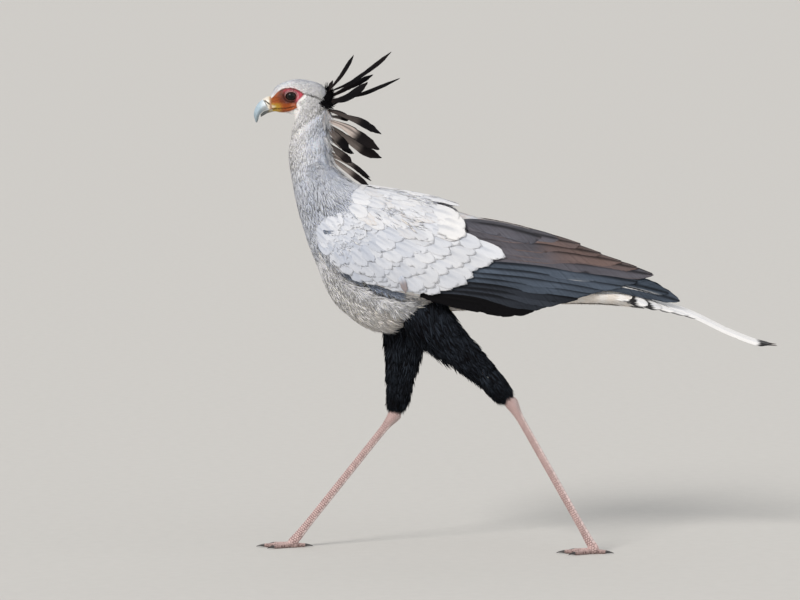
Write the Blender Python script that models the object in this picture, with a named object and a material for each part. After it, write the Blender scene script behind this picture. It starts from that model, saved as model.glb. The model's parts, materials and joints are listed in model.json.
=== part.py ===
"""Secretary bird: a still, life-size model walking slowly, its left leg trailing.

Lengths here are millimetres and become metres when a mesh is made. X runs from the bill
(minus) to the tail (plus), the bird's left side is minus Y, and Z is up. The origin is on
the floor, under the middle of the bird's whole length.
"""
import math
import random

import bmesh
import bpy
from mathutils import Matrix, Vector

MM = 0.001
GAP = 0.3
CUT_GAP = 0.4
FLAT_ANGLE = math.radians(0.3)
UP = Vector((0, 0, 1))
LEFT, RIGHT = -1, 1
SIDES = {"left": LEFT, "right": RIGHT}

# Sections of head, neck and trunk: the point on the upper outline, the point on the lower
# outline (x and z of each), and the half width.
BILL_BASE, HEAD_END, NECK_END, TRUNK_END = 0, 5, 8, 14
TRUNK_STEPS, TRUNK_SIDES = 15, 20
HEAD_STEPS, HEAD_SIDES = 10, 22
NECK_STEPS, NECK_SIDES = 8, 18
BODY_SECTIONS = (
    (-470, 878, -468, 848, 12),
    (-457, 898, -455, 846, 18),
    (-419, 910, -427, 839, 25),
    (-376, 901, -426, 824, 28),
    (-361, 881, -429, 815, 28),
    (-358, 850, -432, 800, 27),
    (-357, 792, -437, 767, 29),
    (-345, 742, -433, 721, 37),
    (-300, 705, -420, 654, 56),
    (-238, 688, -394, 573, 76),
    (-169, 671, -350, 481, 84),
    (-102, 651, -271, 427, 82),
    (-36, 632, -171, 456, 71),
    (23, 612, -85, 464, 55),
    (77, 580, 5, 478, 34),
)

# The upper bill's sections run from its base to the hook, with a flat underside; the lower
# bill's are turned over, so that its flat side is on top.
UPPER_BILL = (
    (-470.4, 876, -468.7, 852.2, 10.5),
    (-478, 874.5, -477, 850.2, 9.8),
    (-486, 870, -485, 847.6, 8.4),
    (-494, 863.5, -490.5, 842.5, 6.4),
    (-500, 853.5, -493, 838, 4.6),
    (-503, 841, -494.5, 832, 2.9),
    (-499.5, 827, -497, 825.5, 0.9),
)
LOWER_BILL = (
    (-468.3, 845.8, -468.7, 851.3, 8.8),
    (-477, 843.5, -477.4, 849.2, 7.8),
    (-484, 839.5, -485, 846.4, 6.2),
    (-489.5, 836.5, -490, 841.2, 3.6),
)
BILL_ANGLE = math.radians(118)
# Lines of the nostrils and of the mouth in the side view, and the height and depth of each.
NOSTRIL = ((-481.5, 867.5), (-473.5, 862.5))
NOSTRIL_TALL, NOSTRIL_DEEP = 2.2, 2
MOUTH = ((-472, 851.8), (-455, 852.6), (-438, 853.6), (-425, 857))
MOUTH_TALL, MOUTH_DEEP = 0.8, 2.5
SLOT_REACH = 4

# The folded wings wrap the trunk. Each section has its point on the back, the point on the
# wing's lower edge, and the half width over both wings.
WING_SECTIONS = (
    (-300, 705, -387, 625, 60),
    (-238, 695, -360, 560, 86),
    (-169, 682, -280, 510, 97),
    (-102, 662, -190, 483, 97),
    (-36, 644, -100, 464, 89),
    (27, 628, -5, 462, 77),
    (95, 606, 85, 485, 62),
    (177, 572, 180, 500, 48),
    (257, 545, 262, 492, 38),
    (330, 498, 326, 472, 29),
)
WING_LOW_ANGLE = math.radians(115)
MIDLINE_GAP = 0.6

# The tail's stump, from the trunk's end backward.
TAIL_SECTIONS = (
    (77, 580, 5, 478, 34),
    (122, 556, 70, 479, 37),
    (168, 528, 135, 479, 38),
    (212, 504, 195, 476, 36),
    (252, 486, 246, 470, 30),
)

TARSUS_RADIUS, HOCK_RADIUS, ANKLE_RADIUS = 7.2, 12, 8.5
LEG_Y = 50
# Feathered shank of each leg: x, distance from the midline, z, radius along, radius across.
SHANKS = {
    "left": ((-190, 36, 505, 44, 24), (-174, 38, 465, 45, 26), (-151, 42, 433, 40, 26),
             (-106, 46, 391, 31, 24), (-78, 48, 366, 27, 22), (-36, 50, 322, 22, 18),
             (-18, 50, 301, 11, 11)),
    "right": ((-206, 36, 505, 44, 24), (-210, 38, 450, 43, 26), (-214, 42, 400, 37, 26),
              (-221, 46, 345, 27, 24), (-226, 49, 298, 23, 19), (-231, 50, 270, 11, 11)),
}
HOCKS = {"left": (-9, 290), "right": (-233, 258)}
ANKLES = {"left": (141, 24), "right": (-419, 24)}
FOOT_HEIGHT = 10

ANKLE_DROP = 30
HOCK_SHAPE = ((18, 9.4), (40, 7.4))
# Toes: name, length from the foot's middle, direction from straight ahead (outward is
# positive), base radius.
TOES = (
    ("middle", 56, 0, 6.6),
    ("inner", 44, -34, 6.2),
    ("outer", 46, 36, 6.2),
    ("hind", 24, 168, 5.6),
)
TOE_TIP_RADIUS, TOE_TIP_HEIGHT = 3.6, 4.2
CLAW_LENGTH, CLAW_RADIUS = 15, 3

EYE_X, EYE_Z, EYE_Y, EYE_RADIUS = -431, 877, 14.2, 12.5
EYE_ACROSS, EYE_ALONG = 16, 8
# The lids: half length, half height and distance from the eye's middle of the two edges that
# rest on the eyeball, then half length, half height and depth of the two set in the skin.
LID_EDGES = ((10.2, 7.8, 13.2), (11, 8.8, 14.8))
LID_ROOTS = ((15, 12.5, -1), (12.5, 10.5, -5))

# Crest feathers: the path of each in the side view (x and z), how far its tip stands from
# the midline, its width at the widest, and its roll from flat in degrees.
HEAD_CREST = (
    (((-357, 890), (-336, 916), (-311, 955)), -16, 12, 46),
    (((-355, 884), (-317, 903), (-273, 933), (-239, 961)), 6, 18, 48),
    (((-355, 874), (-317, 895), (-274, 917)), 24, 20, 44),
    (((-355, 866), (-327, 874), (-284, 903)), -24, 22, 54),
    (((-355, 858), (-334, 867), (-261, 895), (-222, 911)), -8, 18, 36),
    (((-361, 886), (-352, 906)), 10, 8, 40),
    (((-354, 856), (-315, 835), (-295, 824), (-259, 805)), -14, 20, 50),
    (((-357, 862), (-330, 852), (-306, 850)), 20, 15, 30),
)
NECK_CREST = (
    (((-358, 831), (-338, 830), (-319, 825)), 18, 14, 32),
    (((-357, 824), (-326, 817), (-301, 801), (-262, 774)), -22, 21, 54),
    (((-359, 818), (-342, 808), (-308, 783), (-288, 771), (-258, 757)), 8, 24, 60),
    (((-359, 812), (-342, 797), (-318, 774)), -10, 19, 56),
    (((-357, 796), (-338, 782), (-312, 765)), 24, 17, 38),
    (((-356, 780), (-335, 764), (-315, 747)), -14, 19, 56),
    (((-354, 760), (-315, 744), (-281, 716)), 10, 14, 38),
    (((-350, 752), (-318, 730), (-285, 711)), -12, 16, 52),
)

# How far a crest feather is set in, the width of its stem, and shares of its width after it.
CREST_ROOT, CREST_STEM = 14, 4
CREST_SHARES = (0.42, 0.8, 1, 0.9, 0.35)

# Flight feathers of a folded wing, from the lowest to the one that lies over all: root and
# tip in the side view, and width.
FLIGHT_FEATHERS = (
    ((15, 556), (314, 484), 40),
    ((-185, 502), (20, 466), 42),
    ((-168, 514), (66, 481), 40),
    ((-154, 530), (112, 490), 40),
    ((-140, 546), (157, 506), 40),
    ((-126, 562), (216, 518), 38),
    ((-112, 580), (262, 533), 38),
    ((-98, 598), (201, 558), 42),
    ((-92, 622), (122, 590), 38),
    ((-104, 640), (46, 602), 46),
)
QUILL_BEND = 0.02
# Tiers of coverts over them: the line of the roots, the line of the tips, how many, width,
# and the height of the tips over the wing's own surface.
COVERT_TIERS = (
    (((-132, 606), (-190, 574), (-235, 556), (-300, 566)),
     ((-20, 568), (-82, 527), (-145, 496), (-228, 514)), 8, 35, 1),
    (((-196, 628), (-245, 596), (-290, 582), (-335, 592)),
     ((-84, 588), (-140, 550), (-195, 520), (-268, 532)), 7, 33, 3),
    (((-262, 652), (-300, 622), (-335, 606), (-366, 606)),
     ((-168, 610), (-210, 572), (-260, 548), (-312, 556)), 5, 34, 4.8),
    (((-236, 676), (-214, 654), (-205, 628)),
     ((-112, 652), (-84, 628), (-104, 596)), 4, 36, 4.6),
)
# The wing's arm under the feathers: its last section, the angle of its lower edge, its
# thickness at both ends, and its height over the wing's own surface at both ends.
CORE_END, CORE_STEPS, CORE_ACROSS = 5.6, 8, 5
CORE_LOW_ANGLE = math.radians(112)
CORE_THICK_FRONT, CORE_THICK_REAR = 16, 4
CORE_LIFT_FRONT, CORE_LIFT_REAR, ROOT_DEPTH = -1.5, -8, 1.6
QUILL_LIFT, QUILL_STEP = -4.8, 0.5
VANE_THICK = 0.9
CREST_STEPS, TAIL_STEPS, STREAMER_STEPS = 5, 4, 6
# Outlines of feathers: place along the feather and share of its full width there.
QUILL_OUTLINE = ((0, 0.5), (0.35, 0.9), (0.7, 1), (0.9, 0.92), (1, 0.45))
COVERT_OUTLINE = ((0, 0.55), (0.5, 1), (0.86, 0.95), (1, 0.5))

# Tail feathers of one side, from the long middle one outward: tip (x, distance from the
# midline, z), width, and slope outward in degrees.
TAIL_FEATHERS = (
    ((502, 9, 397), 24, 4),
    ((355, 15, 449), 30, 10),
    ((330, 22, 459), 32, 16),
    ((305, 28, 468), 32, 24),
    ((280, 33, 477), 32, 34),
    ((252, 37, 486), 30, 44),
)
STREAMER_BEND = ((140, 5, 528), (235, 8, 492), (330, 10, 462), (404, 10, 427), (458, 9, 406))

STREAMER_WIDTHS = (12, 26, 27, 26, 24, 22, 12)
TAIL_SHARES = (0.4, 0.8, 1, 1, 0.95, 0.4)
TAIL_DROP = 3.2

COLOURS = {
    "grey": (0.55, 0.57, 0.62), "black": (0.012, 0.012, 0.016), "face": (0.56, 0.1, 0.03),
    "bill": (0.3, 0.38, 0.44), "eye": (0.02, 0.01, 0.006), "leg": (0.55, 0.34, 0.32),
    "claw": (0.03, 0.025, 0.025), "white": (0.8, 0.76, 0.76),
}


def curve(values, t):
    """A smooth curve through equally spaced values, read at t."""
    last = len(values) - 1
    k = min(int(max(t, 0)), last - 1)
    f = t - k
    b, c = values[k], values[k + 1]
    a = values[k - 1] if k else 2 * b - c
    d = values[k + 2] if k + 2 <= last else 2 * c - b
    return b + 0.5 * f * (c - a + f * (2 * a - 5 * b + 4 * c - d + f * (3 * (b - c) + d - a)))


def path(points, t):
    """A smooth path through points of any number of values; t runs from 0 to 1."""
    reach = t * (len(points) - 1)
    return [curve(axis, reach) for axis in zip(*points)]


class Envelope:
    """A surface round a line of sections, each an ellipse in its own slanted plane."""

    def __init__(self, sections, low_angle=math.pi):
        self.columns = list(zip(*sections))
        self.last = len(sections) - 1
        self.share = 1 - math.cos(low_angle)

    def section(self, u):
        top_x, top_z, low_x, low_z, half = (curve(column, u) for column in self.columns)
        top = Vector((top_x, 0, top_z))
        chord = top - Vector((low_x, 0, low_z))
        tall = chord.length / self.share
        up = chord.normalized()
        return top - up * tall, up, tall, half

    def point(self, u, angle, offset=0, side=LEFT):
        centre, up, tall, half = self.section(u)
        return (centre + up * ((tall + offset) * math.cos(angle))
                + Vector((0, side * (half + offset) * math.sin(angle), 0)))

    def station(self, x, z):
        """The section whose plane passes through a point of the side view."""
        low, high = 0.0, float(self.last)
        for _ in range(22):
            middle = (low + high) / 2
            centre, up, _, _ = self.section(middle)
            if (x - centre.x) * up.z - (z - centre.z) * up.x > 0:
                low = middle
            else:
                high = middle
        return (low + high) / 2

    def place(self, point):
        """Section and angle of a point in space."""
        u = self.station(point.x, point.z)
        centre, up, tall, half = self.section(u)
        reach = (point - centre).dot(up) / tall
        return u, math.atan2(abs(point.y) / half, reach)

    def seen(self, x, z, offset=0, side=LEFT):
        """The point of the surface seen at x and z from the side."""
        u = self.station(x, z)
        centre, up, tall, _ = self.section(u)
        reach = (Vector((x, 0, z)) - centre).dot(up) / tall
        return self.point(u, math.acos(max(-1, min(0.9995, reach))), offset, side)


def signed_volume(faces):
    """Volume inside a set of faces; it is negative when they look inward."""
    total = 0.0
    for face in faces:
        a = face.verts[0].co
        for one, two in zip(face.verts[1:], face.verts[2:]):
            total += a.dot(one.co.cross(two.co))
    return total / 6


def make_object(name, points, faces):
    """A closed mesh object from points in millimetres; its faces are turned outward."""
    shape = bmesh.new()
    verts = [shape.verts.new(point * MM) for point in points]
    for face in faces:
        shape.faces.new([verts[index] for index in face])
    bmesh.ops.triangulate(shape, faces=[face for face in shape.faces if len(face.verts) > 3])
    if signed_volume(shape.faces) < 0:
        bmesh.ops.reverse_faces(shape, faces=shape.faces)
    mesh = bpy.data.meshes.new(name)
    shape.to_mesh(mesh)
    shape.free()
    piece = bpy.data.objects.new(name, mesh)
    bpy.context.scene.collection.objects.link(piece)
    return piece


def skin_rings(name, rings):
    """Rings of equal count joined in order, with both ends closed flat. The two halves of a
    ring are split as mirror images, so that a symmetric form stays symmetric."""
    count = len(rings[0])
    points = [point for ring in rings for point in ring]
    faces = [list(range(count)), list(range(len(points) - 1, len(points) - count - 1, -1))]
    for row in range(len(rings) - 1):
        for k in range(count):
            a, b = row * count + k, row * count + (k + 1) % count
            if 2 * k < count:
                faces += [[a, a + count, b + count], [a, b + count, b]]
            else:
                faces += [[a, a + count, b], [b, a + count, b + count]]
    return make_object(name, points, faces)


def vane(name, rows):
    """A feather from rows of points: half of each row lies across the upper face, the rest
    runs back below. Both faces are split alike, so that a thin vane never crosses itself."""
    points = [point for row in rows for point in row]
    around = len(rows[0])
    half = around // 2
    end = len(points) - around
    faces = []
    for k in range(half - 1):
        faces.append([k, k + 1, around - 2 - k, around - 1 - k])
        faces.append([end + around - 1 - k, end + around - 2 - k, end + k + 1, end + k])
    for row in range(len(rows) - 1):
        a, b = row * around, (row + 1) * around
        for k in range(around):
            n = (k + 1) % around
            if half <= k < around - 1:
                faces += [[a + k, b + k, a + n], [b + k, b + n, a + n]]
            else:
                faces += [[a + k, b + k, b + n], [a + k, b + n, a + n]]
    return make_object(name, points, faces)


def laid_vane(name, surface, root, tip, width, lift, outline, bend=0.03, tilt=1.0, lines=3):
    """A feather that lies on an envelope, from root to tip in the side view.
    Lift is its height over the envelope at the root and past it, outline the share of the
    full width at places along it, and lines the count of points across it. Its lower edge
    stands up over the feather below."""
    across = Vector((-(tip[1] - root[1]), tip[0] - root[0]))
    line = []
    for t, _ in outline:
        x = root[0] + (tip[0] - root[0]) * t + across[0] * bend * 4 * t * (1 - t)
        z = root[1] + (tip[1] - root[1]) * t + across[1] * bend * 4 * t * (1 - t)
        line.append(surface.seen(x, z))
    places = [2 * k / (lines - 1) - 1 for k in range(lines)]
    rows = []
    for k, (_, share) in enumerate(outline):
        along = line[min(k + 1, len(line) - 1)] - line[max(k - 1, 0)]
        u, angle = surface.place(line[k])
        out = surface.point(u, angle, 1) - surface.point(u, angle, 0)
        side = along.cross(out).normalized() * (width / 2 * share)
        height = lift[1] if k else lift[0]
        row = []
        for face, order in ((1, places), (-1, reversed(places))):
            for place in order:
                spot = surface.place(line[k] + side * place)
                row.append(surface.point(*spot, height + tilt * place + face * VANE_THICK / 2))
        rows.append(row)
    return vane(name, rows)


def free_vane(name, points, widths, side, steps):
    """A feather in the open along a smooth path; side points across its flat."""
    rows = []
    for k in range(steps + 1):
        t = k / steps
        centre = Vector(path(points, t))
        along = Vector(path(points, min(1, t + 0.02))) - Vector(path(points, max(0, t - 0.02)))
        across = (side - along * (side.dot(along) / along.length_squared)).normalized()
        out = across.cross(along).normalized()
        half = path([(width,) for width in widths], t)[0] / 2
        ease = VANE_THICK / 2 * (1 if t < 0.9 else 0.6)
        rows.append([centre + across * (half * place) + out * (ease * face)
                     for place, face in ((-1, 1), (0, 1.8), (1, 1), (1, -1), (0, -1), (-1, -1))])
    return vane(name, rows)


def fused(name, base, others, cutters=()):
    """Joins pieces to a base, cuts it, and keeps its largest closed surface."""
    for operation, group in (("UNION", others), ("DIFFERENCE", cutters)):
        if not group:
            continue
        collection = bpy.data.collections.new(name + "_" + operation.lower())
        bpy.context.scene.collection.children.link(collection)
        for piece in group:
            bpy.context.scene.collection.objects.unlink(piece)
            collection.objects.link(piece)
        change = base.modifiers.new(operation, "BOOLEAN")
        change.operation = operation
        change.solver = "MANIFOLD"
        change.operand_type = "COLLECTION"
        change.collection = collection
        bpy.context.view_layer.update()
        result = bpy.data.meshes.new_from_object(base.evaluated_get(bpy.context.evaluated_depsgraph_get()))
        base.modifiers.clear()
        base.data = result
        for piece in list(collection.objects):
            bpy.data.objects.remove(piece)
        bpy.data.collections.remove(collection)
    keep_largest(base)
    base.name = name
    return base


def keep_largest(piece):
    """Keeps the largest closed surface of a mesh and joins its flat faces."""
    shape = bmesh.new()
    shape.from_mesh(piece.data)
    islands = []
    unseen = set(shape.verts)
    while unseen:
        stack = [unseen.pop()]
        island = set(stack)
        while stack:
            for edge in stack.pop().link_edges:
                for vert in edge.verts:
                    if vert in unseen:
                        unseen.remove(vert)
                        island.add(vert)
                        stack.append(vert)
        islands.append(island)

    islands.sort(key=lambda island: signed_volume({face for vert in island for face in vert.link_faces}),
                 reverse=True)
    for island in islands[1:]:
        bmesh.ops.delete(shape, geom=list(island), context="VERTS")
    bmesh.ops.dissolve_limit(shape, angle_limit=FLAT_ANGLE, verts=shape.verts, edges=shape.edges)
    bmesh.ops.triangulate(shape, faces=shape.faces)
    shape.to_mesh(piece.data)
    shape.free()


def painted(piece, colour):
    """Gives a piece its plain colour, and returns it."""
    material = bpy.data.materials.get(colour)
    if material is None:
        material = bpy.data.materials.new(colour)
        material.use_nodes = True
        shader = material.node_tree.nodes["Principled BSDF"]
        shader.inputs["Base Color"].default_value = (*COLOURS[colour], 1)
        shader.inputs["Roughness"].default_value = 0.3 if colour == "eye" else 0.65
    piece.data.materials.clear()
    piece.data.materials.append(material)
    return piece


def body_rings(surface, start, end, steps, sides, offset=0.0, close=GAP / 2):
    """Rings of the body from one section to another, drawn in by half a gap at both ends."""
    first, last = surface.section(start)[0], surface.section(end)[0]
    inset_first = close / (surface.section(start + 0.1)[0] - first).length * 0.1
    inset_last = close / (last - surface.section(end - 0.1)[0]).length * 0.1
    rings = []
    for k in range(steps + 1):
        u = start + (end - start) * k / steps
        u = max(start + inset_first, min(end - inset_last, u))
        rings.append([surface.point(u, 2 * math.pi * s / sides, offset) for s in range(sides)])
    return rings


def cut_rings(surface, steps, sides, low_angle):
    """Rings of a surface with a flat face where its sections stop short of a full turn."""
    rings = []
    for k in range(steps + 1):
        u = surface.last * k / steps
        rings.append([surface.point(u, low_angle * (2 * s / (sides - 1) - 1)) for s in range(sides)])
    return rings


def surface_slot(name, surface, line, height, depth, side, steps=5):
    """A cutter that follows a line of the side view at an even depth in a surface."""
    rings = []
    for k in range(steps + 1):
        x, z = path(line, k / steps)
        rings.append([surface.seen(x, z + rise, reach, side)
                      for rise, reach in ((-height / 2, -depth), (height / 2, -depth),
                                          (height / 2, SLOT_REACH), (-height / 2, SLOT_REACH))])
    return skin_rings(name, rings)


def ball(name, centre, radius):
    shape = bmesh.new()
    bmesh.ops.create_uvsphere(shape, u_segments=EYE_ACROSS, v_segments=EYE_ALONG, radius=radius * MM)
    bmesh.ops.rotate(shape, verts=shape.verts, cent=(0, 0, 0), matrix=Matrix.Rotation(math.pi / 2, 3, "X"))
    bmesh.ops.translate(shape, verts=shape.verts, vec=Vector(centre) * MM)
    mesh = bpy.data.meshes.new(name)
    shape.to_mesh(mesh)
    shape.free()
    piece = bpy.data.objects.new(name, mesh)
    bpy.context.scene.collection.objects.link(piece)
    return piece


def lids(body, side, steps=16):
    """A ring of skin round one eye, its inner edge resting on the eyeball."""
    middle = Vector((EYE_X, side * EYE_Y, EYE_Z))
    rings = []
    for k in range(steps):
        turn = 2 * math.pi * k / steps
        x, z = math.cos(turn), math.sin(turn)
        ring = []
        for long, tall, reach in LID_EDGES:
            away = math.sqrt(reach ** 2 - (long * x) ** 2 - (tall * z) ** 2)
            ring.append(middle + Vector((long * x, side * away, tall * z)))
        for long, tall, sunk in LID_ROOTS:
            ring.append(body.seen(EYE_X + long * x, EYE_Z + tall * z, sunk, side))
        rings.append(ring)
    points = [point for ring in rings for point in ring]
    faces = []
    for row in range(steps):
        after = (row + 1) % steps
        for k in range(4):
            n = (k + 1) % 4
            faces += [[row * 4 + k, after * 4 + k, after * 4 + n], [row * 4 + k, after * 4 + n, row * 4 + n]]
    return make_object("lids", points, faces)


def ring_at(centre, run, along_radius, cross_radius, sides):
    """A ring round a point of a leg; run is the leg's direction there, in x and z."""
    face = Vector((run.z, 0, -run.x))
    return [centre + face * (along_radius * math.cos(2 * math.pi * s / sides))
            + Vector((0, cross_radius * math.sin(2 * math.pi * s / sides), 0)) for s in range(sides)]


def leg_points(name):
    side = SIDES[name]
    shank = SHANKS[name]
    end = Vector((shank[-1][0], side * shank[-1][1], shank[-1][2]))
    hock = Vector((HOCKS[name][0], side * LEG_Y, HOCKS[name][1]))
    ankle = Vector((ANKLES[name][0], side * LEG_Y, ANKLES[name][1]))
    return end, hock, ankle, (hock - end).normalized(), (ankle - hock).normalized()


def build_shank(name, trunk_cutter):
    """The feathered upper leg, from inside the flank down to the hock."""
    side = SIDES[name]
    _, _, _, bend, _ = leg_points(name)
    steps = 8
    rings = []
    for k in range(steps + 1):
        x, y, z, along, across = path(SHANKS[name], k / steps)
        ahead = path(SHANKS[name], min(1, k / steps + 0.02))
        behind = path(SHANKS[name], max(0, k / steps - 0.02))
        run = Vector((ahead[0] - behind[0], 0, ahead[2] - behind[2])).normalized()
        if k == steps:
            run = bend
        rings.append(ring_at(Vector((x, side * y, z)), run, along, across, 12))
    shank = skin_rings("thigh_" + name, rings)
    return painted(fused("thigh_" + name, shank, (), (trunk_cutter,)), "black")


def build_tarsus(name):
    """The bare lower leg with the knob of the hock at its top."""
    end, hock, ankle, bend, run = leg_points(name)
    length = (ankle - hock).length
    rings = [ring_at(end + bend * GAP, bend, 11, 11, 10),
             ring_at(hock, (bend + run).normalized(), HOCK_RADIUS + 1, HOCK_RADIUS - 1.5, 10)]
    shaft = ((length / 2, TARSUS_RADIUS), (length - ANKLE_DROP, TARSUS_RADIUS), (length, ANKLE_RADIUS))
    for reach, radius in HOCK_SHAPE + shaft:
        rings.append(ring_at(hock + run * reach, run, radius, radius * 0.9, 10))
    return painted(skin_rings("tarsus_" + name, rings), "leg")


def toe_path(name, angle, length):
    """Where a toe starts, its direction on the floor and the middle of its tip."""
    _, _, ankle, _, run = leg_points(name)
    middle = ankle + run * ((ankle.z - FOOT_HEIGHT) / -run.z)
    turn = math.radians(angle) * SIDES[name]
    along = Vector((-math.cos(turn), math.sin(turn), 0))
    start = Vector((middle.x, middle.y, 0))
    return start, along, start + along * length + UP * TOE_TIP_HEIGHT


def build_foot(name):
    """A foot with its four toes, flat underneath."""
    _, _, ankle, _, run = leg_points(name)
    middle = toe_path(name, 0, 0)[0]
    down = (run - UP).normalized()
    rings = [ring_at(ankle + run * GAP, run, ANKLE_RADIUS, ANKLE_RADIUS * 0.9, 10),
             ring_at(middle + UP * 11, down, 9.5, 9, 10),
             ring_at(middle + UP * 4, -UP, 10, 9.5, 10), ring_at(middle, -UP, 8.5, 8, 10)]
    foot = skin_rings("foot_" + name, rings)
    toes = []
    for toe, length, angle, radius in TOES:
        start, along, tip = toe_path(name, angle, length)
        side = along.cross(UP)
        rings = []
        for k in range(7):
            t = k / 6
            thick = radius + (TOE_TIP_RADIUS - radius) * t
            thick *= 1 + 0.08 * math.cos(6 * math.pi * t) * (1 - t)
            low = thick * 0.85
            centre = start + along * (length * t) + UP * (low + (TOE_TIP_HEIGHT - low) * t ** 4)
            ring = []
            for s in range(8):
                turn = 2 * math.pi * (s + 0.5) / 8
                spot = centre + side * (thick * math.cos(turn)) + UP * (thick * math.sin(turn))
                spot.z = max(spot.z, 0)
                ring.append(spot)
            rings.append(ring)
        toes.append(skin_rings("toe_" + toe, rings))
    return painted(fused("foot_" + name, foot, toes), "leg")


def build_claws(name):
    for number, (_, length, angle, _) in enumerate(TOES, start=1):
        _, along, tip = toe_path(name, angle, length)
        side = along.cross(UP)
        rings = []
        for k in range(5):
            t = k / 4
            centre = tip + along * (GAP + CLAW_LENGTH * t) - UP * (2.2 * t ** 2)
            radius = CLAW_RADIUS * (1 - t) + 0.5 * t
            slope = (along - UP * (4.4 * t / CLAW_LENGTH)).normalized()
            lift = side.cross(slope)
            rings.append([centre + side * (radius * 0.8 * math.cos(math.pi * s / 3))
                          + lift * (radius * math.sin(math.pi * s / 3)) for s in range(6)])
        painted(skin_rings(f"claw_{name}_{number}", rings), "claw")


def build_head(body):
    head = skin_rings("head", body_rings(body, BILL_BASE, HEAD_END, HEAD_STEPS, HEAD_SIDES))
    cutters = []
    for side in SIDES.values():
        cutters.append(ball("socket", (EYE_X, side * EYE_Y, EYE_Z), EYE_RADIUS + GAP))
        cutters.append(surface_slot("mouth", body, MOUTH, MOUTH_TALL, MOUTH_DEEP, side))
    skins = [lids(body, side) for side in SIDES.values()]
    head = fused("head", head, skins + crest(HEAD_CREST), cutters)
    painted(head, "grey")
    for name, side in SIDES.items():
        eye = ball("eye_" + name, (EYE_X, side * EYE_Y, EYE_Z), EYE_RADIUS)
        painted(eye, "eye")


def build_bill():
    upper_shape = Envelope(UPPER_BILL, BILL_ANGLE)
    upper = skin_rings("bill_upper", cut_rings(upper_shape, 9, 13, BILL_ANGLE))
    slots = [surface_slot("nostril", upper_shape, NOSTRIL, NOSTRIL_TALL, NOSTRIL_DEEP, side, 2)
             for side in SIDES.values()]
    painted(fused("bill_upper", upper, (), slots), "bill")
    lower_shape = Envelope(LOWER_BILL, math.pi / 2)
    painted(skin_rings("bill_lower", cut_rings(lower_shape, 5, 9, math.pi / 2)), "bill")


def crest(feathers):
    """Crest feathers, each with a thin stem rooted in the nape and a broad blunt end."""
    vanes = []
    for line, spread, width, roll in feathers:
        reach = Vector((line[1][0] - line[0][0], line[1][1] - line[0][1])).normalized()
        root = Vector(line[0]) - reach * CREST_ROOT
        points = [(root.x, spread * 0.25, root.y)]
        for k, (x, z) in enumerate(line):
            points.append((x, spread * (0.35 + 0.65 * k / (len(line) - 1)), z))
        lean = math.radians(roll)
        side = Vector((-reach.y * math.sin(lean), math.cos(lean), reach.x * math.sin(lean)))
        widths = [CREST_STEM, CREST_STEM] + [width * share for share in CREST_SHARES]
        vanes.append(free_vane("crest feather", points, widths, side, CREST_STEPS))
    return vanes


def core_lift(u):
    """Height of the arm's outer face over the wing's surface; it sinks under the quills."""
    ease = min(1, max(0, (u - 1.5) / 1.5))
    return CORE_LIFT_FRONT + (CORE_LIFT_REAR - CORE_LIFT_FRONT) * ease


def wing_core(surface):
    """The left wing's arm as a curved slab on the envelope, from the bend of the wing."""
    rings = []
    for k in range(CORE_STEPS + 1):
        u = CORE_END * k / CORE_STEPS
        front = max(0, 1 - u / 2.4) ** 1.4
        high = math.radians(2 + 58 * front)
        low = CORE_LOW_ANGLE - math.radians(10) * max(0, 1 - u) ** 2
        thick = CORE_THICK_FRONT + (CORE_THICK_REAR - CORE_THICK_FRONT) * min(1, u / 5)
        angles = [high + (low - high) * s / CORE_ACROSS for s in range(CORE_ACROSS + 1)]
        rings.append([surface.point(u, angle, core_lift(u)) for angle in angles]
                     + [surface.point(u, angle, core_lift(u) - thick) for angle in reversed(angles)])
    return skin_rings("wing", rings)


def mirrored(piece, name):
    mesh = piece.data.copy()
    shape = bmesh.new()
    shape.from_mesh(mesh)
    for vert in shape.verts:
        vert.co.y = -vert.co.y
    bmesh.ops.reverse_faces(shape, faces=shape.faces)
    shape.to_mesh(mesh)
    shape.free()
    twin = bpy.data.objects.new(name, mesh)
    bpy.context.scene.collection.objects.link(twin)
    return twin


def midline_box():
    """Covers the far side of the bird's middle plane, so that the two wings stay apart."""
    shape = bmesh.new()
    bmesh.ops.create_cube(shape, size=1)
    bmesh.ops.scale(shape, vec=(2, 0.4, 2), verts=shape.verts)
    bmesh.ops.translate(shape, vec=(0, 0.2 - MIDLINE_GAP / 2 * MM, 0.5), verts=shape.verts)
    mesh = bpy.data.meshes.new("far side")
    shape.to_mesh(mesh)
    shape.free()
    box = bpy.data.objects.new("far side", mesh)
    bpy.context.scene.collection.objects.link(box)
    return box


def trunk_cutter(body):
    """The trunk and the root of the neck, grown by the gap that a touching piece keeps.
    Its rings stand where the trunk's own do, so that the two never cross."""
    start, steps = NECK_END - 2 * (TRUNK_END - NECK_END) / TRUNK_STEPS, TRUNK_STEPS + 2
    return skin_rings("trunk", body_rings(body, start, TRUNK_END, steps, TRUNK_SIDES, CUT_GAP, 0))


def wing_feathers(surface):
    """Flight feathers and three tiers of coverts, each lying over the tier below."""
    chance = random.Random(5)
    feathers = []
    for k, (root, tip, width) in enumerate(FLIGHT_FEATHERS):
        under = len(FLIGHT_FEATHERS) - 1 - k
        sunk = core_lift(surface.station(*root)) - ROOT_DEPTH - QUILL_STEP * under
        feathers.append(laid_vane("quill", surface, root, tip, width, (sunk, QUILL_LIFT + QUILL_STEP * k),
                                  QUILL_OUTLINE, QUILL_BEND))
    for roots, tips, count, width, height in COVERT_TIERS:
        for k in range(count):
            t = k / (count - 1)
            root, tip = path(roots, t), path(tips, t)
            tip = (tip[0] + chance.uniform(-5, 5), tip[1] + chance.uniform(-2, 2))
            sunk = core_lift(surface.station(*root)) - ROOT_DEPTH
            feathers.append(laid_vane("covert", surface, root, tip, width * chance.uniform(0.94, 1.06),
                                      (sunk, height), COVERT_OUTLINE, lines=2))
    return feathers


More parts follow.
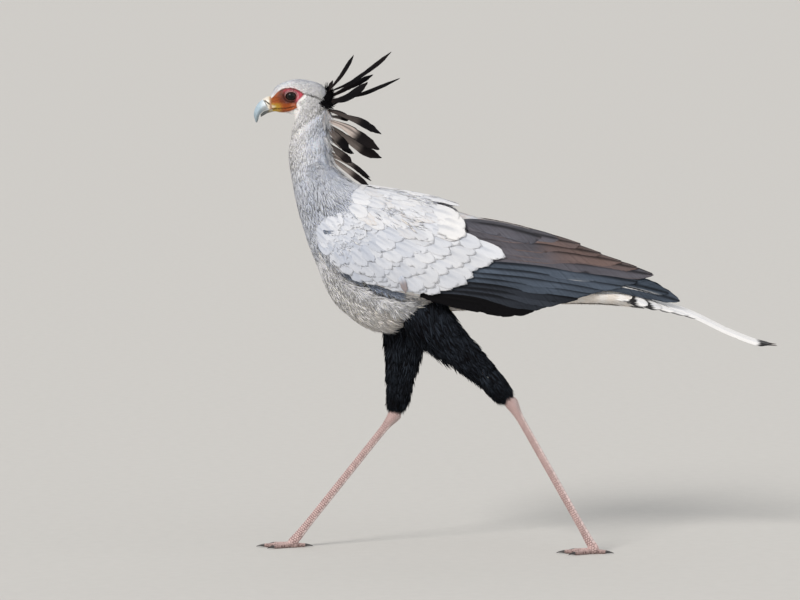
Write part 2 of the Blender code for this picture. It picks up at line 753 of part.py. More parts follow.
def build_wings(body):
    surface = Envelope(WING_SECTIONS, WING_LOW_ANGLE)
    wing = fused("wing_left", wing_core(surface), wing_feathers(surface), (trunk_cutter(body), midline_box()))
    painted(wing, "grey")
    painted(mirrored(wing, "wing_right"), "grey")


def build_tail():
    """The tail's stump with six pairs of feathers, the middle pair drawn out long."""
    surface = Envelope(TAIL_SECTIONS)
    stump = skin_rings("tail", body_rings(surface, 0, surface.last, 8, 14))
    feathers = []
    for k, (tip, width, slope) in enumerate(TAIL_FEATHERS):
        for side in SIDES.values():
            lean = math.radians(slope)
            across = Vector((0, math.cos(lean), -side * math.sin(lean)))
            drop = TAIL_DROP * (k + (0.5 if side == LEFT else 0))
            if k == 0:
                points = [(x, side * y, z - drop) for x, y, z in STREAMER_BEND + (tip,)]
                widths, steps = STREAMER_WIDTHS, STREAMER_STEPS
            else:
                root = (120 + 4 * k, side * (4 + 3.4 * k), 530 - drop - 1.5 * k)
                end = (tip[0], side * tip[1], tip[2])
                middle = [(a + b) / 2 for a, b in zip(root, end)]
                points = (root, (middle[0], middle[1], middle[2] + 2), (end[0], end[1], end[2] - drop / 2))
                widths, steps = [width * share for share in TAIL_SHARES], TAIL_STEPS
            feathers.append(free_vane("tail feather", points, widths, across, steps))
    return painted(fused("tail", stump, feathers), "white")


def build_bird():
    body = Envelope(BODY_SECTIONS)
    build_head(body)
    build_bill()
    neck = skin_rings("neck", body_rings(body, HEAD_END, NECK_END, NECK_STEPS, NECK_SIDES))
    painted(fused("neck", neck, crest(NECK_CREST)), "grey")
    painted(skin_rings("torso", body_rings(body, NECK_END, TRUNK_END, TRUNK_STEPS, TRUNK_SIDES)), "grey")
    build_wings(body)
    build_tail()
    for name in SIDES:
        build_shank(name, trunk_cutter(body))
        build_tarsus(name)
        build_foot(name)
        build_claws(name)


def main():
    for piece in list(bpy.data.objects):
        bpy.data.objects.remove(piece)
    build_bird()


main()
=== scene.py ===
"""Secretary bird, a still life-size model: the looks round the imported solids.

The bird faces minus X, its left side is minus Y, and Z is up. Tables of places are in
millimetres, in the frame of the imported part.
"""

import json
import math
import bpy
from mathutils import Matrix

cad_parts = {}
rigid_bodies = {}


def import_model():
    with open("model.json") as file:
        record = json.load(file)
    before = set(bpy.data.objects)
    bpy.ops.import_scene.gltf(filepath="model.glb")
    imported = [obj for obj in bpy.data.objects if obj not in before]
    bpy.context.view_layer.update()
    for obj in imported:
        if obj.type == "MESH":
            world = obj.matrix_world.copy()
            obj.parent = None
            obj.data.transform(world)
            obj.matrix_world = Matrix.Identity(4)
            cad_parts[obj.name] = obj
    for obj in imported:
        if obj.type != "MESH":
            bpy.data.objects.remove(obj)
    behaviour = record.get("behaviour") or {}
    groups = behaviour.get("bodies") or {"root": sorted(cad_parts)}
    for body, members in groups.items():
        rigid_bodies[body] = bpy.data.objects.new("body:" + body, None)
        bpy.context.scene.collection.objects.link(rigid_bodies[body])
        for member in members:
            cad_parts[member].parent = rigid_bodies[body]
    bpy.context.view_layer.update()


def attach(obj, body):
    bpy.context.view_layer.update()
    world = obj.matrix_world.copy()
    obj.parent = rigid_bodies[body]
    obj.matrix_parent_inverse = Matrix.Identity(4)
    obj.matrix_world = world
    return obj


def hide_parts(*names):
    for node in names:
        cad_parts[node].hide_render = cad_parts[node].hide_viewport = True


bl_info = {
    "name": "Secretary Bird",
    "version": (1, 0, 0),
    "blender": (4, 5, 0),
    "location": "View3D > Sidebar > Bird",
    "description": "Plumage, bare skin, horn, eyes and stage for a still secretary bird",
    "category": "Object",
}

import bmesh
import bpy
import numpy as np
from bpy.props import FloatProperty, FloatVectorProperty, IntProperty, PointerProperty
from mathutils import Vector

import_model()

MM = 0.001
LEFT, RIGHT = -1, 1
SIDES = {"left": LEFT, "right": RIGHT}
PIECE_LIMIT = 190000
PATCH = 0.003

# Sections of head, neck, trunk and tail stump: the point on the upper outline, the point on
# the lower outline (x and z of each), and the half width.
BODY_SECTIONS = (
    (-470, 878, -468, 848, 12),
    (-457, 898, -455, 846, 18),
    (-419, 910, -427, 839, 25),
    (-376, 901, -426, 824, 28),
    (-361, 881, -429, 815, 28),
    (-358, 850, -432, 800, 27),
    (-357, 792, -437, 767, 29),
    (-345, 742, -433, 721, 37),
    (-300, 705, -420, 654, 56),
    (-238, 688, -394, 573, 76),
    (-169, 671, -350, 481, 84),
    (-102, 651, -271, 427, 82),
    (-36, 632, -171, 456, 71),
    (23, 612, -85, 464, 55),
    (77, 580, 5, 478, 34),
    (122, 556, 70, 479, 37),
    (168, 528, 135, 479, 38),
    (212, 504, 195, 476, 36),
    (252, 486, 246, 470, 30),
)
HEAD_END, NECK_END, TRUNK_END = 5, 8, 14
WING_SECTIONS = (
    (-300, 705, -387, 625, 60),
    (-238, 695, -360, 560, 86),
    (-169, 682, -280, 510, 97),
    (-102, 662, -190, 483, 97),
    (-36, 644, -100, 464, 89),
    (27, 628, -5, 462, 77),
    (95, 606, 85, 485, 62),
    (177, 572, 180, 500, 48),
    (257, 545, 262, 492, 38),
    (330, 498, 326, 472, 29),
)
WING_LOW_ANGLE = math.radians(115)
WING_ARM_END = 5.6
UPPER_BILL = (
    (-470.4, 876, -468.7, 852.2, 10.5),
    (-478, 874.5, -477, 850.2, 9.8),
    (-486, 870, -485, 847.6, 8.4),
    (-494, 863.5, -490.5, 842.5, 6.4),
    (-500, 853.5, -493, 838, 4.6),
    (-503, 841, -494.5, 832, 2.9),
    (-499.5, 827, -497, 825.5, 0.9),
)
LOWER_BILL = (
    (-468.3, 845.8, -468.7, 851.3, 8.8),
    (-477, 843.5, -477.4, 849.2, 7.8),
    (-484, 839.5, -485, 846.4, 6.2),
    (-489.5, 836.5, -490, 841.2, 3.6),
)
BILL_ANGLE = math.radians(118)
NOSTRIL = ((-481.3, 868), (-472.6, 861.4))
MOUTH = ((-472, 851.8), (-455, 852.6), (-438, 853.6), (-425, 857))
EYE_X, EYE_Z, EYE_Y, EYE_RADIUS = -431, 877, 14.2, 12.5
# The lid's section: half length, half height and distance from the eye's middle over the rim,
# then half length, half height and depth in the skin.
LID_RIM = ((10.3, 7.9, 12.65), (10.5, 8.1, 13.7), (11.3, 9, 14.5), (12.6, 10.3, 14.9))
LID_ROOTS = ((15.2, 12.8, -0.6), (14, 11.8, -4), (11.8, 9.8, -5))

# Outline of the bare skin of the face in the side view, and the fold of skin over the eye.
BARE_FACE = ((-478, 869), (-470.7, 872), (-464.9, 876), (-461, 881.7), (-455.3, 886.5), (-449.5, 890.8),
             (-441.8, 892.7), (-432.2, 893.7), (-422.6, 891.9), (-414.9, 888.5), (-405, 881),
             (-409.1, 876.5), (-414.9, 871), (-419.7, 864.4), (-420.7, 859.6), (-418.8, 854.5),
             (-426.4, 850.8), (-434.1, 847.4), (-445.7, 845), (-461, 844), (-478, 845))
BROW = ((-453, 886), (-445, 890.6), (-433, 892), (-421, 890), (-407, 882))

# Feathered shank of each leg: x, distance from the midline, z, radius along, radius across.
SHANKS = {
    "left": ((-190, 36, 505, 44, 24), (-174, 38, 465, 45, 26), (-151, 42, 433, 40, 26),
             (-106, 46, 391, 31, 24), (-78, 48, 366, 27, 22), (-36, 50, 322, 22, 18),
             (-18, 50, 301, 11, 11)),
    "right": ((-206, 36, 505, 44, 24), (-210, 38, 450, 43, 26), (-214, 42, 400, 37, 26),
              (-221, 46, 345, 27, 24), (-226, 49, 298, 23, 19), (-231, 50, 270, 11, 11)),
}
LEG_Y = 50
HOCKS = {"left": (-9, 290), "right": (-233, 258)}
ANKLES = {"left": (141, 24), "right": (-419, 24)}
FOOT_HEIGHT = 10
TARSUS_RADIUS, HOCK_RADIUS, ANKLE_RADIUS = 7.2, 12, 8.5
# Toes: length from the foot's middle, direction from straight ahead (outward is positive),
# and base radius.
TOES = ((56, 0, 6.6), (44, -34, 6.2), (46, 36, 6.2), (24, 168, 5.6))
TOE_TIP_RADIUS, TOE_TIP_HEIGHT = 3.6, 4.2
CLAW_LENGTH, CLAW_RADIUS = 15, 3

# Crest feathers: path in the side view, how far the tip stands from the midline, width at
# the widest, roll from flat in degrees, and how grey the base is.
CREST = (
    (((-353, 894), (-334, 918), (-311, 955)), -16, 11, 48, 0),
    (((-355, 886), (-317, 903), (-273, 933), (-239, 961)), 6, 11, 52, 0),
    (((-355, 876), (-317, 895), (-274, 917)), 22, 14, 50, 0),
    (((-353, 867), (-322, 875), (-284, 903)), -24, 18, 58, 0),
    (((-355, 858), (-322, 875), (-288, 883), (-222, 911)), -8, 10, 50, 0),
    (((-361, 886), (-352, 906)), 10, 9, 50, 0),
    (((-354, 848), (-315, 834), (-295, 826), (-259, 804)), -12, 19, 52, 0.1),
    (((-357, 850), (-335, 842), (-317, 830)), 18, 13, 50, 0.1),
    (((-358, 838), (-338, 835), (-322, 829)), 18, 11, 40, 0.3),
    (((-357, 829), (-326, 817), (-301, 800), (-262, 774)), -22, 24, 60, 1),
    (((-359, 820), (-342, 808), (-308, 784), (-288, 771), (-258, 757)), 8, 22, 62, 0.3),
    (((-359, 814), (-342, 797), (-320, 773)), -10, 20, 60, 0.25),
    (((-357, 796), (-338, 782), (-312, 765)), 24, 16, 42, 0.6),
    (((-356, 782), (-335, 765), (-315, 749)), -14, 18, 58, 0.15),
    (((-354, 762), (-315, 744), (-278, 713)), 10, 12, 44, 0.7),
    (((-352, 756), (-318, 731), (-281, 703)), -12, 14, 54, 0.5),
    (((-354, 768), (-318, 748), (-280, 720)), 0, 10, 56, 0.8),
)

# Flight feathers of a folded wing from the lowest up: root and tip in the side view, width,
# and the kind of its colouring.
FLIGHT_FEATHERS = (
    ((15, 556), (314, 484), 38, "slate"),
    ((30, 552), (292, 500), 34, "primary"),
    ((-185, 500), (6, 466), 40, "black"),
    ((-176, 506), (34, 468), 40, "black"),
    ((-168, 512), (62, 478), 40, "dusk"),
    ((-160, 520), (90, 484), 38, "dusk"),
    ((-152, 529), (118, 490), 38, "dusk"),
    ((-145, 538), (144, 500), 38, "slate"),
    ((-138, 547), (168, 507), 38, "slate"),
    ((-130, 557), (204, 514), 38, "slate"),
    ((-122, 568), (232, 522), 38, "lined"),
    ((-114, 580), (264, 534), 40, "umber"),
    ((-108, 590), (234, 547), 40, "brown"),
    ((-100, 600), (204, 558), 44, "brown"),
    ((-96, 610), (164, 574), 42, "brown"),
    ((-92, 622), (124, 592), 42, "brown"),
    ((-98, 632), (82, 602), 44, "umber"),
    ((-104, 642), (48, 606), 50, "top"),
)
# Tiers of coverts over them: the line of the roots, the line of the tips, how many, width,
# height of the tips over the wing's own surface, and the kind of colouring.
COVERT_TIERS = (
    (((-132, 606), (-190, 574), (-235, 550), (-300, 566)),
     ((-26, 577), (-86, 537), (-146, 506), (-228, 517)), 13, 34, 1.2, "covert"),
    (((-176, 622), (-225, 588), (-270, 570), (-335, 580)),
     ((-60, 588), (-122, 546), (-185, 512), (-262, 522)), 14, 31, 2.4, "covert"),
    (((-206, 634), (-250, 598), (-296, 582), (-350, 592)),
     ((-104, 600), (-160, 560), (-218, 526), (-290, 532)), 15, 29, 3.3, "covert"),
    (((-236, 644), (-280, 610), (-320, 592), (-362, 602)),
     ((-144, 610), (-200, 573), (-252, 542), (-314, 546)), 16, 26, 4.0, "covert"),
    (((-262, 652), (-306, 620), (-338, 602), (-370, 610)),
     ((-182, 619), (-238, 586), (-286, 558), (-336, 560)), 17, 23, 4.6, "small"),
)
# Small coverts from the bend of the wing back: the first and the last line of roots.
SMALL_COVERTS = (((-312, 703), (-352, 672), (-376, 640), (-380, 604)),
                 ((-246, 652), (-290, 616), (-326, 596), (-358, 584)))
SMALL_ROWS = 7
# Scapulars and mantle: the line along the back, then the line of the longest feathers' tips.
SCAPULARS = (((-326, 712), (-262, 699), (-190, 684), (-132, 668)),
             ((-282, 650), (-232, 640), (-178, 628), (-126, 622)))

# The two broad scapulars that end in the white rounded tip over the flight feathers.
LONG_SCAPULARS = (((-186, 664), (-112, 640)), ((-180, 652), (-100, 625)), ((-184, 636), (-99, 611)))

# Tail feathers of one side, from the long middle one outward: tip (x, distance from the
# midline, z), width, and slope outward in degrees.
TAIL_FEATHERS = (
    ((502, 9, 397), 24, 4),
    ((355, 15, 449), 30, 10),
    ((330, 22, 459), 32, 16),
    ((305, 28, 468), 32, 24),
    ((280, 33, 477), 32, 34),
    ((252, 37, 486), 30, 44),
)
STREAMER_BEND = ((140, 5, 528), (235, 8, 492), (330, 10, 462), (404, 10, 427), (458, 9, 406))
TAIL_DROP, STREAMER_ROLL = 3.2, 24

# Stage, in metres: where the camera looks, its lens in millimetres, the way to the main
# light, and for each fill light its name, the way to it and its share of the strength.
LOOK_AT = (-0.2226, 0, 0.4846)
CAMERA_LENS = 210.6
KEY_WAY = (-0.48, -0.74, 0.56)
FILL_LIGHTS = (("side", (0.85, -0.5, 0.45), 1.0), ("rear", (0.2, 0.85, 0.6), 0.6))
FLOOR_RADIUS = 400


def linear(code):
    """An sRGB hex colour as linear red, green and blue."""
    parts = [int(code[k:k + 2], 16) / 255 for k in (1, 3, 5)]
    return tuple(part / 12.92 if part <= 0.04045 else ((part + 0.055) / 1.055) ** 2.4 for part in parts)


def colour(label, code, text):
    return FloatVectorProperty(name=label, description=text, subtype="COLOR", size=3, min=0, max=1,
                               default=linear(code))


class BirdColours(bpy.types.PropertyGroup):
    """Colours of plumage, bare skin and horn."""
    grey: colour("Grey plumage", "#C5CAD5", "Pale blue-grey of neck, breast and wing coverts")
    # Shade is also laid as painted shade: on the hindneck and the neck's lower side, toward feather roots, over coverts
    # near the wing's lower front and in the hollow under the wing.
    shade: colour("Shaded grey", "#8D9AB2", "Deeper blue-grey of the hindneck and the feather bases")
    white: colour("White plumage", "#F2F0EE", "White of cheeks, throat, belly and tail")
    buff: colour("Buff", "#C9AE8C", "Warm stain of belly, vent and worn scapular edges")
    black: colour("Black plumage", "#0B0A0D", "Black of flight feathers, crest and trousers")
    slate: colour("Slate bloom", "#4A5461", "Blue-grey bloom on the webs of the flight feathers")
    brown: colour("Worn brown", "#62504A", "Brown of the worn tertials")
    orange: colour("Face orange", "#96460F", "Orange of the bare skin before the eye")
    red: colour("Face red", "#B23A4C", "Red-pink of the bare skin above and behind the eye")
    # Maroon is laid as painted shade round and below the eye, in the fold under the brow and on the lower lids.
    maroon: colour("Face maroon", "#4C1409", "Dark red of the folds round the eye")
    tan: colour("Pale tan", "#C4B6AE", "Tan-grey webs of the lower crest feathers")
    yellow: colour("Gape yellow", "#B89A30", "Yellow of the gape and the cere")
    horn: colour("Bill horn", "#A4B8C5", "Blue-grey horn of the bill")
    horn_tip: colour("Bill tip", "#474842", "Dark horn of the bill's hook")
    leg: colour("Leg scales", "#D8BBB6", "Pinkish scales of tarsi and toes")
    leg_line: colour("Leg furrows", "#5E4142", "Purple-brown skin between the scales")
    claw: colour("Claw horn", "#2A2626", "Dark horn of the claws")
    iris: colour("Iris", "#24160F", "Dark brown of the iris")


class BirdSizes(bpy.types.PropertyGroup):
    """Sizes of the coat."""
    seed: IntProperty(name="Seed", description="Start of every random draw", default=7, min=0)
    coat_depth: FloatProperty(name="Coat depth", description="How far the skin lies inside the plumage",
                              default=0.005, min=0, max=0.02, unit="LENGTH")
    density: FloatProperty(name="Density", description="Tufts for each one of the planned coat",
                           default=1.0, min=0.1, max=3)
    barb_gap: FloatProperty(name="Barb spacing", description="Distance between the drawn barbs of a vane",
                            default=0.0016, min=0.0003, max=0.01, unit="LENGTH")


class StageSettings(bpy.types.PropertyGroup):
    """Floor, light and camera."""
    floor: colour("Floor", "#C9C7C3", "Colour of the plain floor")
    key: FloatProperty(name="Key light", description="Strength of the main light", default=2.25, min=0)
    fill: FloatProperty(name="Fill lights", description="Strength of the lights from the other sides",
                        default=0.5, min=0)
    distance: FloatProperty(name="Camera distance", description="From the camera to the bird",
                            default=9.0, min=1, unit="LENGTH")
    elevation: FloatProperty(name="Camera elevation", description="Angle of the camera over the level",
                             default=math.radians(4), subtype="ANGLE")


def unit(vectors):
    return vectors / np.maximum(np.linalg.norm(vectors, axis=-1, keepdims=True), 1e-12)


def spline(rows, u):
    """A smooth curve through equally spaced rows of values, read at an array of places."""
    rows = np.asarray(rows, float)
    u = np.atleast_1d(np.asarray(u, float))
    last = len(rows) - 1
    k = np.clip(np.floor(u).astype(int), 0, last - 1)
    f = (u - k)[:, None]
    b, c = rows[k], rows[k + 1]
    a = np.where((k > 0)[:, None], rows[np.maximum(k - 1, 0)], 2 * b - c)
    d = np.where((k + 2 <= last)[:, None], rows[np.minimum(k + 2, last)], 2 * c - b)
    return b + 0.5 * f * (c - a + f * (2 * a - 5 * b + 4 * c - d + f * (3 * (b - c) + d - a)))


def path(points, t):
    """A smooth path through points, read at an array of shares of its length."""
    return spline(points, np.asarray(t) * (len(points) - 1))


def ease(low, high, value):
    """Rises smoothly from 0 at low to 1 at high."""
    t = np.clip((value - low) / (high - low), 0, 1)
    return t * t * (3 - 2 * t)


class Form:
    """A surface round a line of sections, each an ellipse in its own slanted plane."""

    def __init__(self, sections, low_angle=math.pi):
        self.rows = np.array(sections, float)
        self.last = len(sections) - 1
        self.share = 1 - math.cos(low_angle)

    def section(self, u):
        top_x, top_z, low_x, low_z, half = spline(self.rows, u).T
        top = np.stack([top_x, top_z], -1)
        chord = top - np.stack([low_x, low_z], -1)
        length = np.linalg.norm(chord, axis=-1)
        up = chord / length[:, None]
        tall = length / self.share
        return top - up * tall[:, None], up, tall, half

    def point(self, u, angle, offset=0.0, side=LEFT):
        centre, up, tall, half = self.section(u)
        flat = centre + up * ((tall + offset) * np.cos(angle))[:, None]
        return np.stack([flat[:, 0], side * (half + offset) * np.sin(angle), flat[:, 1]], -1)

    def station(self, x, z):
        """The section whose plane passes through each point of the side view."""
        low, high = np.zeros(len(x)), np.full(len(x), float(self.last))
        for _ in range(22):
            middle = (low + high) / 2
            centre, up, _, _ = self.section(middle)
            ahead = (x - centre[:, 0]) * up[:, 1] - (z - centre[:, 1]) * up[:, 0] > 0
            low, high = np.where(ahead, middle, low), np.where(ahead, high, middle)
        return (low + high) / 2

    def place(self, points):
        """Section and angle of each point in space."""
        u = self.station(points[:, 0], points[:, 2])
        centre, up, tall, half = self.section(u)
        reach = ((points[:, [0, 2]] - centre) * up).sum(-1) / tall
        return u, np.arctan2(np.abs(points[:, 1]) / half, reach)

    def seen(self, x, z):
        """Section and angle of the surface seen at x and z from the side."""
        x, z = np.atleast_1d(x).astype(float), np.atleast_1d(z).astype(float)
        u = self.station(x, z)
        centre, up, tall, _ = self.section(u)
        reach = ((np.stack([x, z], -1) - centre) * up).sum(-1) / tall
        return u, np.arccos(np.clip(reach, -1, 0.9995))

    def frame(self, u, angle, offset=0.0, side=LEFT, step=0.02):
        """Points of the surface, the lie of the feathers there and the way outward."""
        here = self.point(u, angle, offset, side)
        along = unit(self.point(u + step, angle, offset, side) - self.point(u - step, angle, offset, side))
        around = self.point(u, angle + step, offset, side) - self.point(u, angle - step, offset, side)
        out = unit(np.cross(along, around))
        grown = self.point(u, angle, offset + 1.0, side) - here
        out *= np.sign((out * grown).sum(-1, keepdims=True))
        return here, along, out


class Limb:
    """A tube along a path of points (x, y, z, radius along, radius across)."""

    def __init__(self, points):
        self.points = np.array(points, float)

    def frame(self, t, angle, offset=0.0):
        rows = path(self.points, t)
        ahead = path(self.points, np.minimum(t + 0.02, 1)) - path(self.points, np.maximum(t - 0.02, 0))
        run = unit(ahead[:, :3])
        front = unit(np.stack([run[:, 2], np.zeros(len(run)), -run[:, 0]], -1))
        aside = np.cross(run, front)
        out = unit(front * (np.cos(angle) / rows[:, 3])[:, None] + aside * (np.sin(angle) / rows[:, 4])[:, None])
        here = (rows[:, :3] + front * ((rows[:, 3] + offset) * np.cos(angle))[:, None]
                + aside * ((rows[:, 4] + offset) * np.sin(angle))[:, None])
        return here, run, out


class Heap:
    """Gathers points, triangles, colours and map places, and makes pieces of them."""

    def __init__(self):
        self.parts = []

    def add(self, points, faces, tint, patch, vane=None):
        vane = np.zeros((len(points), 2)) if vane is None else vane
        self.parts.append((points, faces, tint, patch, vane))

    def make(self, name, material, slot, nodes=()):
        groups, count = [[]], 0
        for part in self.parts:
            if count + len(part[1]) > PIECE_LIMIT:
                groups.append([])
                count = 0
            groups[-1].append(part)
            count += len(part[1])
        pieces = []
        for number, group in enumerate(groups, start=1):
            starts = np.cumsum([0] + [len(part[0]) for part in group[:-1]])
            faces = np.concatenate([part[1] + start for part, start in zip(group, starts)])
            columns = [np.concatenate([part[k] for part in group]) for k in (0, 2, 3, 4)]
            label = name if len(groups) == 1 else f"{name}_{number}"
            piece = mesh_piece(label, columns[0], faces, columns[1], columns[2], columns[3], material)
            placed(piece, slot, *(nodes if number == 1 else ()))
            pieces.append(piece)
        return pieces


def mesh_piece(name, points, faces, tint, patch=None, vane=None, material=None):
    """A smooth mesh object from arrays in millimetres, with a colour for each point."""
    mesh = bpy.data.meshes.new(name)
    width = faces.shape[1]
    mesh.vertices.add(len(points))
    mesh.vertices.foreach_set("co", (np.asarray(points) * MM).astype(np.float32).ravel())
    mesh.loops.add(faces.size)
    mesh.loops.foreach_set("vertex_index", faces.astype(np.int32).ravel())
    mesh.polygons.add(len(faces))
    mesh.polygons.foreach_set("loop_start", np.arange(len(faces), dtype=np.int32) * width)
    mesh.polygons.foreach_set("use_smooth", np.ones(len(faces), bool))
    mesh.update(calc_edges=True)
    layer = mesh.color_attributes.new("tint", "FLOAT_COLOR", "POINT")
    shades = np.concatenate([np.clip(tint, 0, 1), np.ones((len(points), 1))], -1)
    layer.data.foreach_set("color", shades.astype(np.float32).ravel())
    for label, places in (("OFBake", patch), ("Vane", vane)):
        if places is not None:
            layer = mesh.uv_layers.new(name=label)
            layer.data.foreach_set("uv", places[faces.ravel()].astype(np.float32).ravel())
    mesh.materials.append(material)
    piece = bpy.data.objects.new(name, mesh)
    bpy.context.scene.collection.objects.link(piece)
    return piece


def placed(piece, slot, *nodes):
    """Sets a piece on the body and hides the imported nodes it stands for; slot, its finish, is not used."""
    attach(piece, "root")
    if nodes:
        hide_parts(*nodes)
    return piece


def turned_outward(points, faces):
    """Faces in the order that looks outward, for a closed surface."""
    a, b, c = (points[faces[:, k]] for k in range(3))
    return faces if (a * np.cross(b, c)).sum() > 0 else faces[:, ::-1]


def chart(cell, across, along):
    """Map places in one of six cells: trunk, left wing, right wing, left leg, right leg, tail."""
    column, row = cell % 3, cell // 3
    return np.stack([(column + 0.04 + 0.9 * np.clip(across, 0, 1)) / 3,
                     (row + 0.04 + 0.9 * np.clip(along, 0, 1)) / 2], -1)


# The line of painted shade in the hollow under the front of the folded wing, in the side view.
HOLLOW_SHADE_LINE = ((-372, 590), (-368, 572), (-334, 541), (-269, 507), (-222, 492))


def mixed(first, second, share):
    """Colours part of the way from the first to the second."""
    share = np.asarray(share, float)[..., None]
    return np.asarray(first) * (1 - share) + np.asarray(second) * share


def line_distance(points, line, closed=False):
    """Distance in the side view from points to a broken line."""
    flat = points[:, [0, 2]]
    line = np.array(line, float)
    ends = np.roll(line, -1, 0) if closed else line[1:]
    best = np.full(len(flat), 1e9)
    for a, b in zip(line, ends):
        t = np.clip((flat - a) @ (b - a) / ((b - a) @ (b - a)), 0, 1)
        best = np.minimum(best, np.linalg.norm(flat - a - t[:, None] * (b - a), axis=1))
    return best


def inside(points, outline):
    """Whether points lie inside an outline of the side view."""
    x, z = points[:, 0], points[:, 2]
    found = np.zeros(len(points), bool)
    for (ax, az), (bx, bz) in zip(outline, outline[1:] + outline[:1]):
        crosses = (az > z) != (bz > z)
        slope = (bx - ax) / (bz - az) if bz != az else 0
        found ^= crosses & (x < ax + slope * (z - az))
    return found


def bare(points):
    """1 on the bare skin of the face, 0 where feathers grow, with a soft edge."""
    reach = line_distance(points, BARE_FACE, closed=True)
    signed = np.where(inside(points, BARE_FACE), reach, -reach) + 0.5 * ripples(points, 3.5, 17)
    return ease(-1.2, 1.2, signed)


def ripples(points, size, seed=0):
    """Smooth variation from -1 to 1 over a distance in millimetres."""
    chance = np.random.default_rng(seed)
    total = np.zeros(len(points))
    for _ in range(6):
        way = unit(chance.normal(size=3)) * chance.uniform(0.7, 1.5) * 2 * math.pi / size
        total += np.sin(points @ way + chance.uniform(0, 6.28))
    return total / 6 * 1.7


def palette():
    settings = bpy.context.scene.bird_colours
    names = BirdColours.__annotations__
    return {name: np.array(getattr(settings, name)) for name in names}


# Dark line behind the eye, then down the rear border of the ear coverts, where it is painted shadow.
EYE_LINE = ((-406, 882), (-392, 880), (-377, 877.5), (-376, 868), (-378, 857))


def markings(points):
    """The colours of skin and coat over head, neck and trunk, which the two share, with painted
    shade on the neck and under the wing.
    """
    hues = palette()
    x, z = points[:, 0], points[:, 2]
    u, angle = BODY.place(points)
    streak = ripples(points * (0.6, 1, 0.16), 8, 3)
    cloud = ripples(points, 45, 5)
    tint = mixed(hues["grey"], hues["white"], 0.3 + 0.16 * cloud)
    # Painted shade: blue-grey mottling over the upper neck where the feathers part.
    gap_shade_mottle = ripples(points * (1, 1, 0.45), 11, 9) * ease(4.6, 5.4, u) * ease(8, 6.4, u)
    tint = mixed(tint, hues["shade"], np.clip(0.1 + 0.35 * gap_shade_mottle, 0, 1) * ease(4.6, 5.4, u))
    # Painted shade: the hindneck's side darkened in blue-grey.
    hindneck_shade = ease(1.5, 0.6, angle) * ease(4.2, 5.4, u) * ease(8.2, 6.8, u)
    tint = mixed(tint, hues["shade"], np.clip(hindneck_shade * (0.42 + 0.25 * streak), 0, 1))
    # Painted shade: the shaded lower side of the neck darkened in blue-grey.
    collar = ease(5.5, 7.5, u) * ease(10, 8.6, u) * ease(0.5, 1.3, angle)
    tint = mixed(tint, hues["shade"], np.clip(collar * (0.24 + 0.1 * streak), 0, 1))
    front = ease(1.4, 2.2, angle) * ease(7.5, 5, u) + ease(5, 4.2, u) * ease(0.2, 1.0, angle)
    tint = mixed(tint, hues["white"], np.clip(0.9 * front, 0, 0.95))
    crown = ease(0.95, 0.4, angle) * ease(5, 3.5, u)
    tint = mixed(tint, hues["shade"], np.clip(crown * (0.06 + 0.1 * streak), 0, 1))
    belly = ease(8.4, 9.8, u) * ease(1.2, 1.6, angle)
    tint = mixed(tint, hues["white"], 0.95 * belly)
    stain = ease(9.4, 11.5, u) * ease(1.5, 2.3, angle) * ease(14.5, 12.5, u)
    tint = mixed(tint, hues["buff"], np.clip(stain * (0.36 + 0.16 * cloud), 0, 1))
    rump = ease(10, 11.5, u) * ease(1.1, 0.7, angle)
    tint = mixed(tint, hues["buff"], np.clip(rump * (0.3 + 0.2 * streak), 0, 1))
    vent = ease(13, 14.5, u)
    tint = mixed(tint, hues["white"], 0.75 * vent)
    tint = mixed(tint, hues["buff"], np.clip(vent * ease(1.8, 2.4, angle) * (0.2 + 0.2 * cloud), 0, 1))
    # Painted shade: the coat darkened in deep blue-grey along the hollow under the wing's front.
    painted_hollow_shade = ease(11, 3, line_distance(points, HOLLOW_SHADE_LINE)) * ease(1.0, 1.3, angle)
    tint = mixed(tint, hues["shade"] * 0.35, np.clip(painted_hollow_shade * (0.75 + 0.3 * streak), 0, 0.85))
    # Black of the nape patch and of the line behind the eye, whose lower part is painted shadow.
    nape = ease(12, 7, np.hypot(x + 363, (z - 871) * 0.9)) + 0.9 * ease(3, 0.9, line_distance(points, EYE_LINE))
    tint = mixed(tint, hues["black"], np.clip(nape * (0.85 + 0.15 * streak), 0, 0.95))
    return mixed(tint, face_colours(points, hues), bare(points))


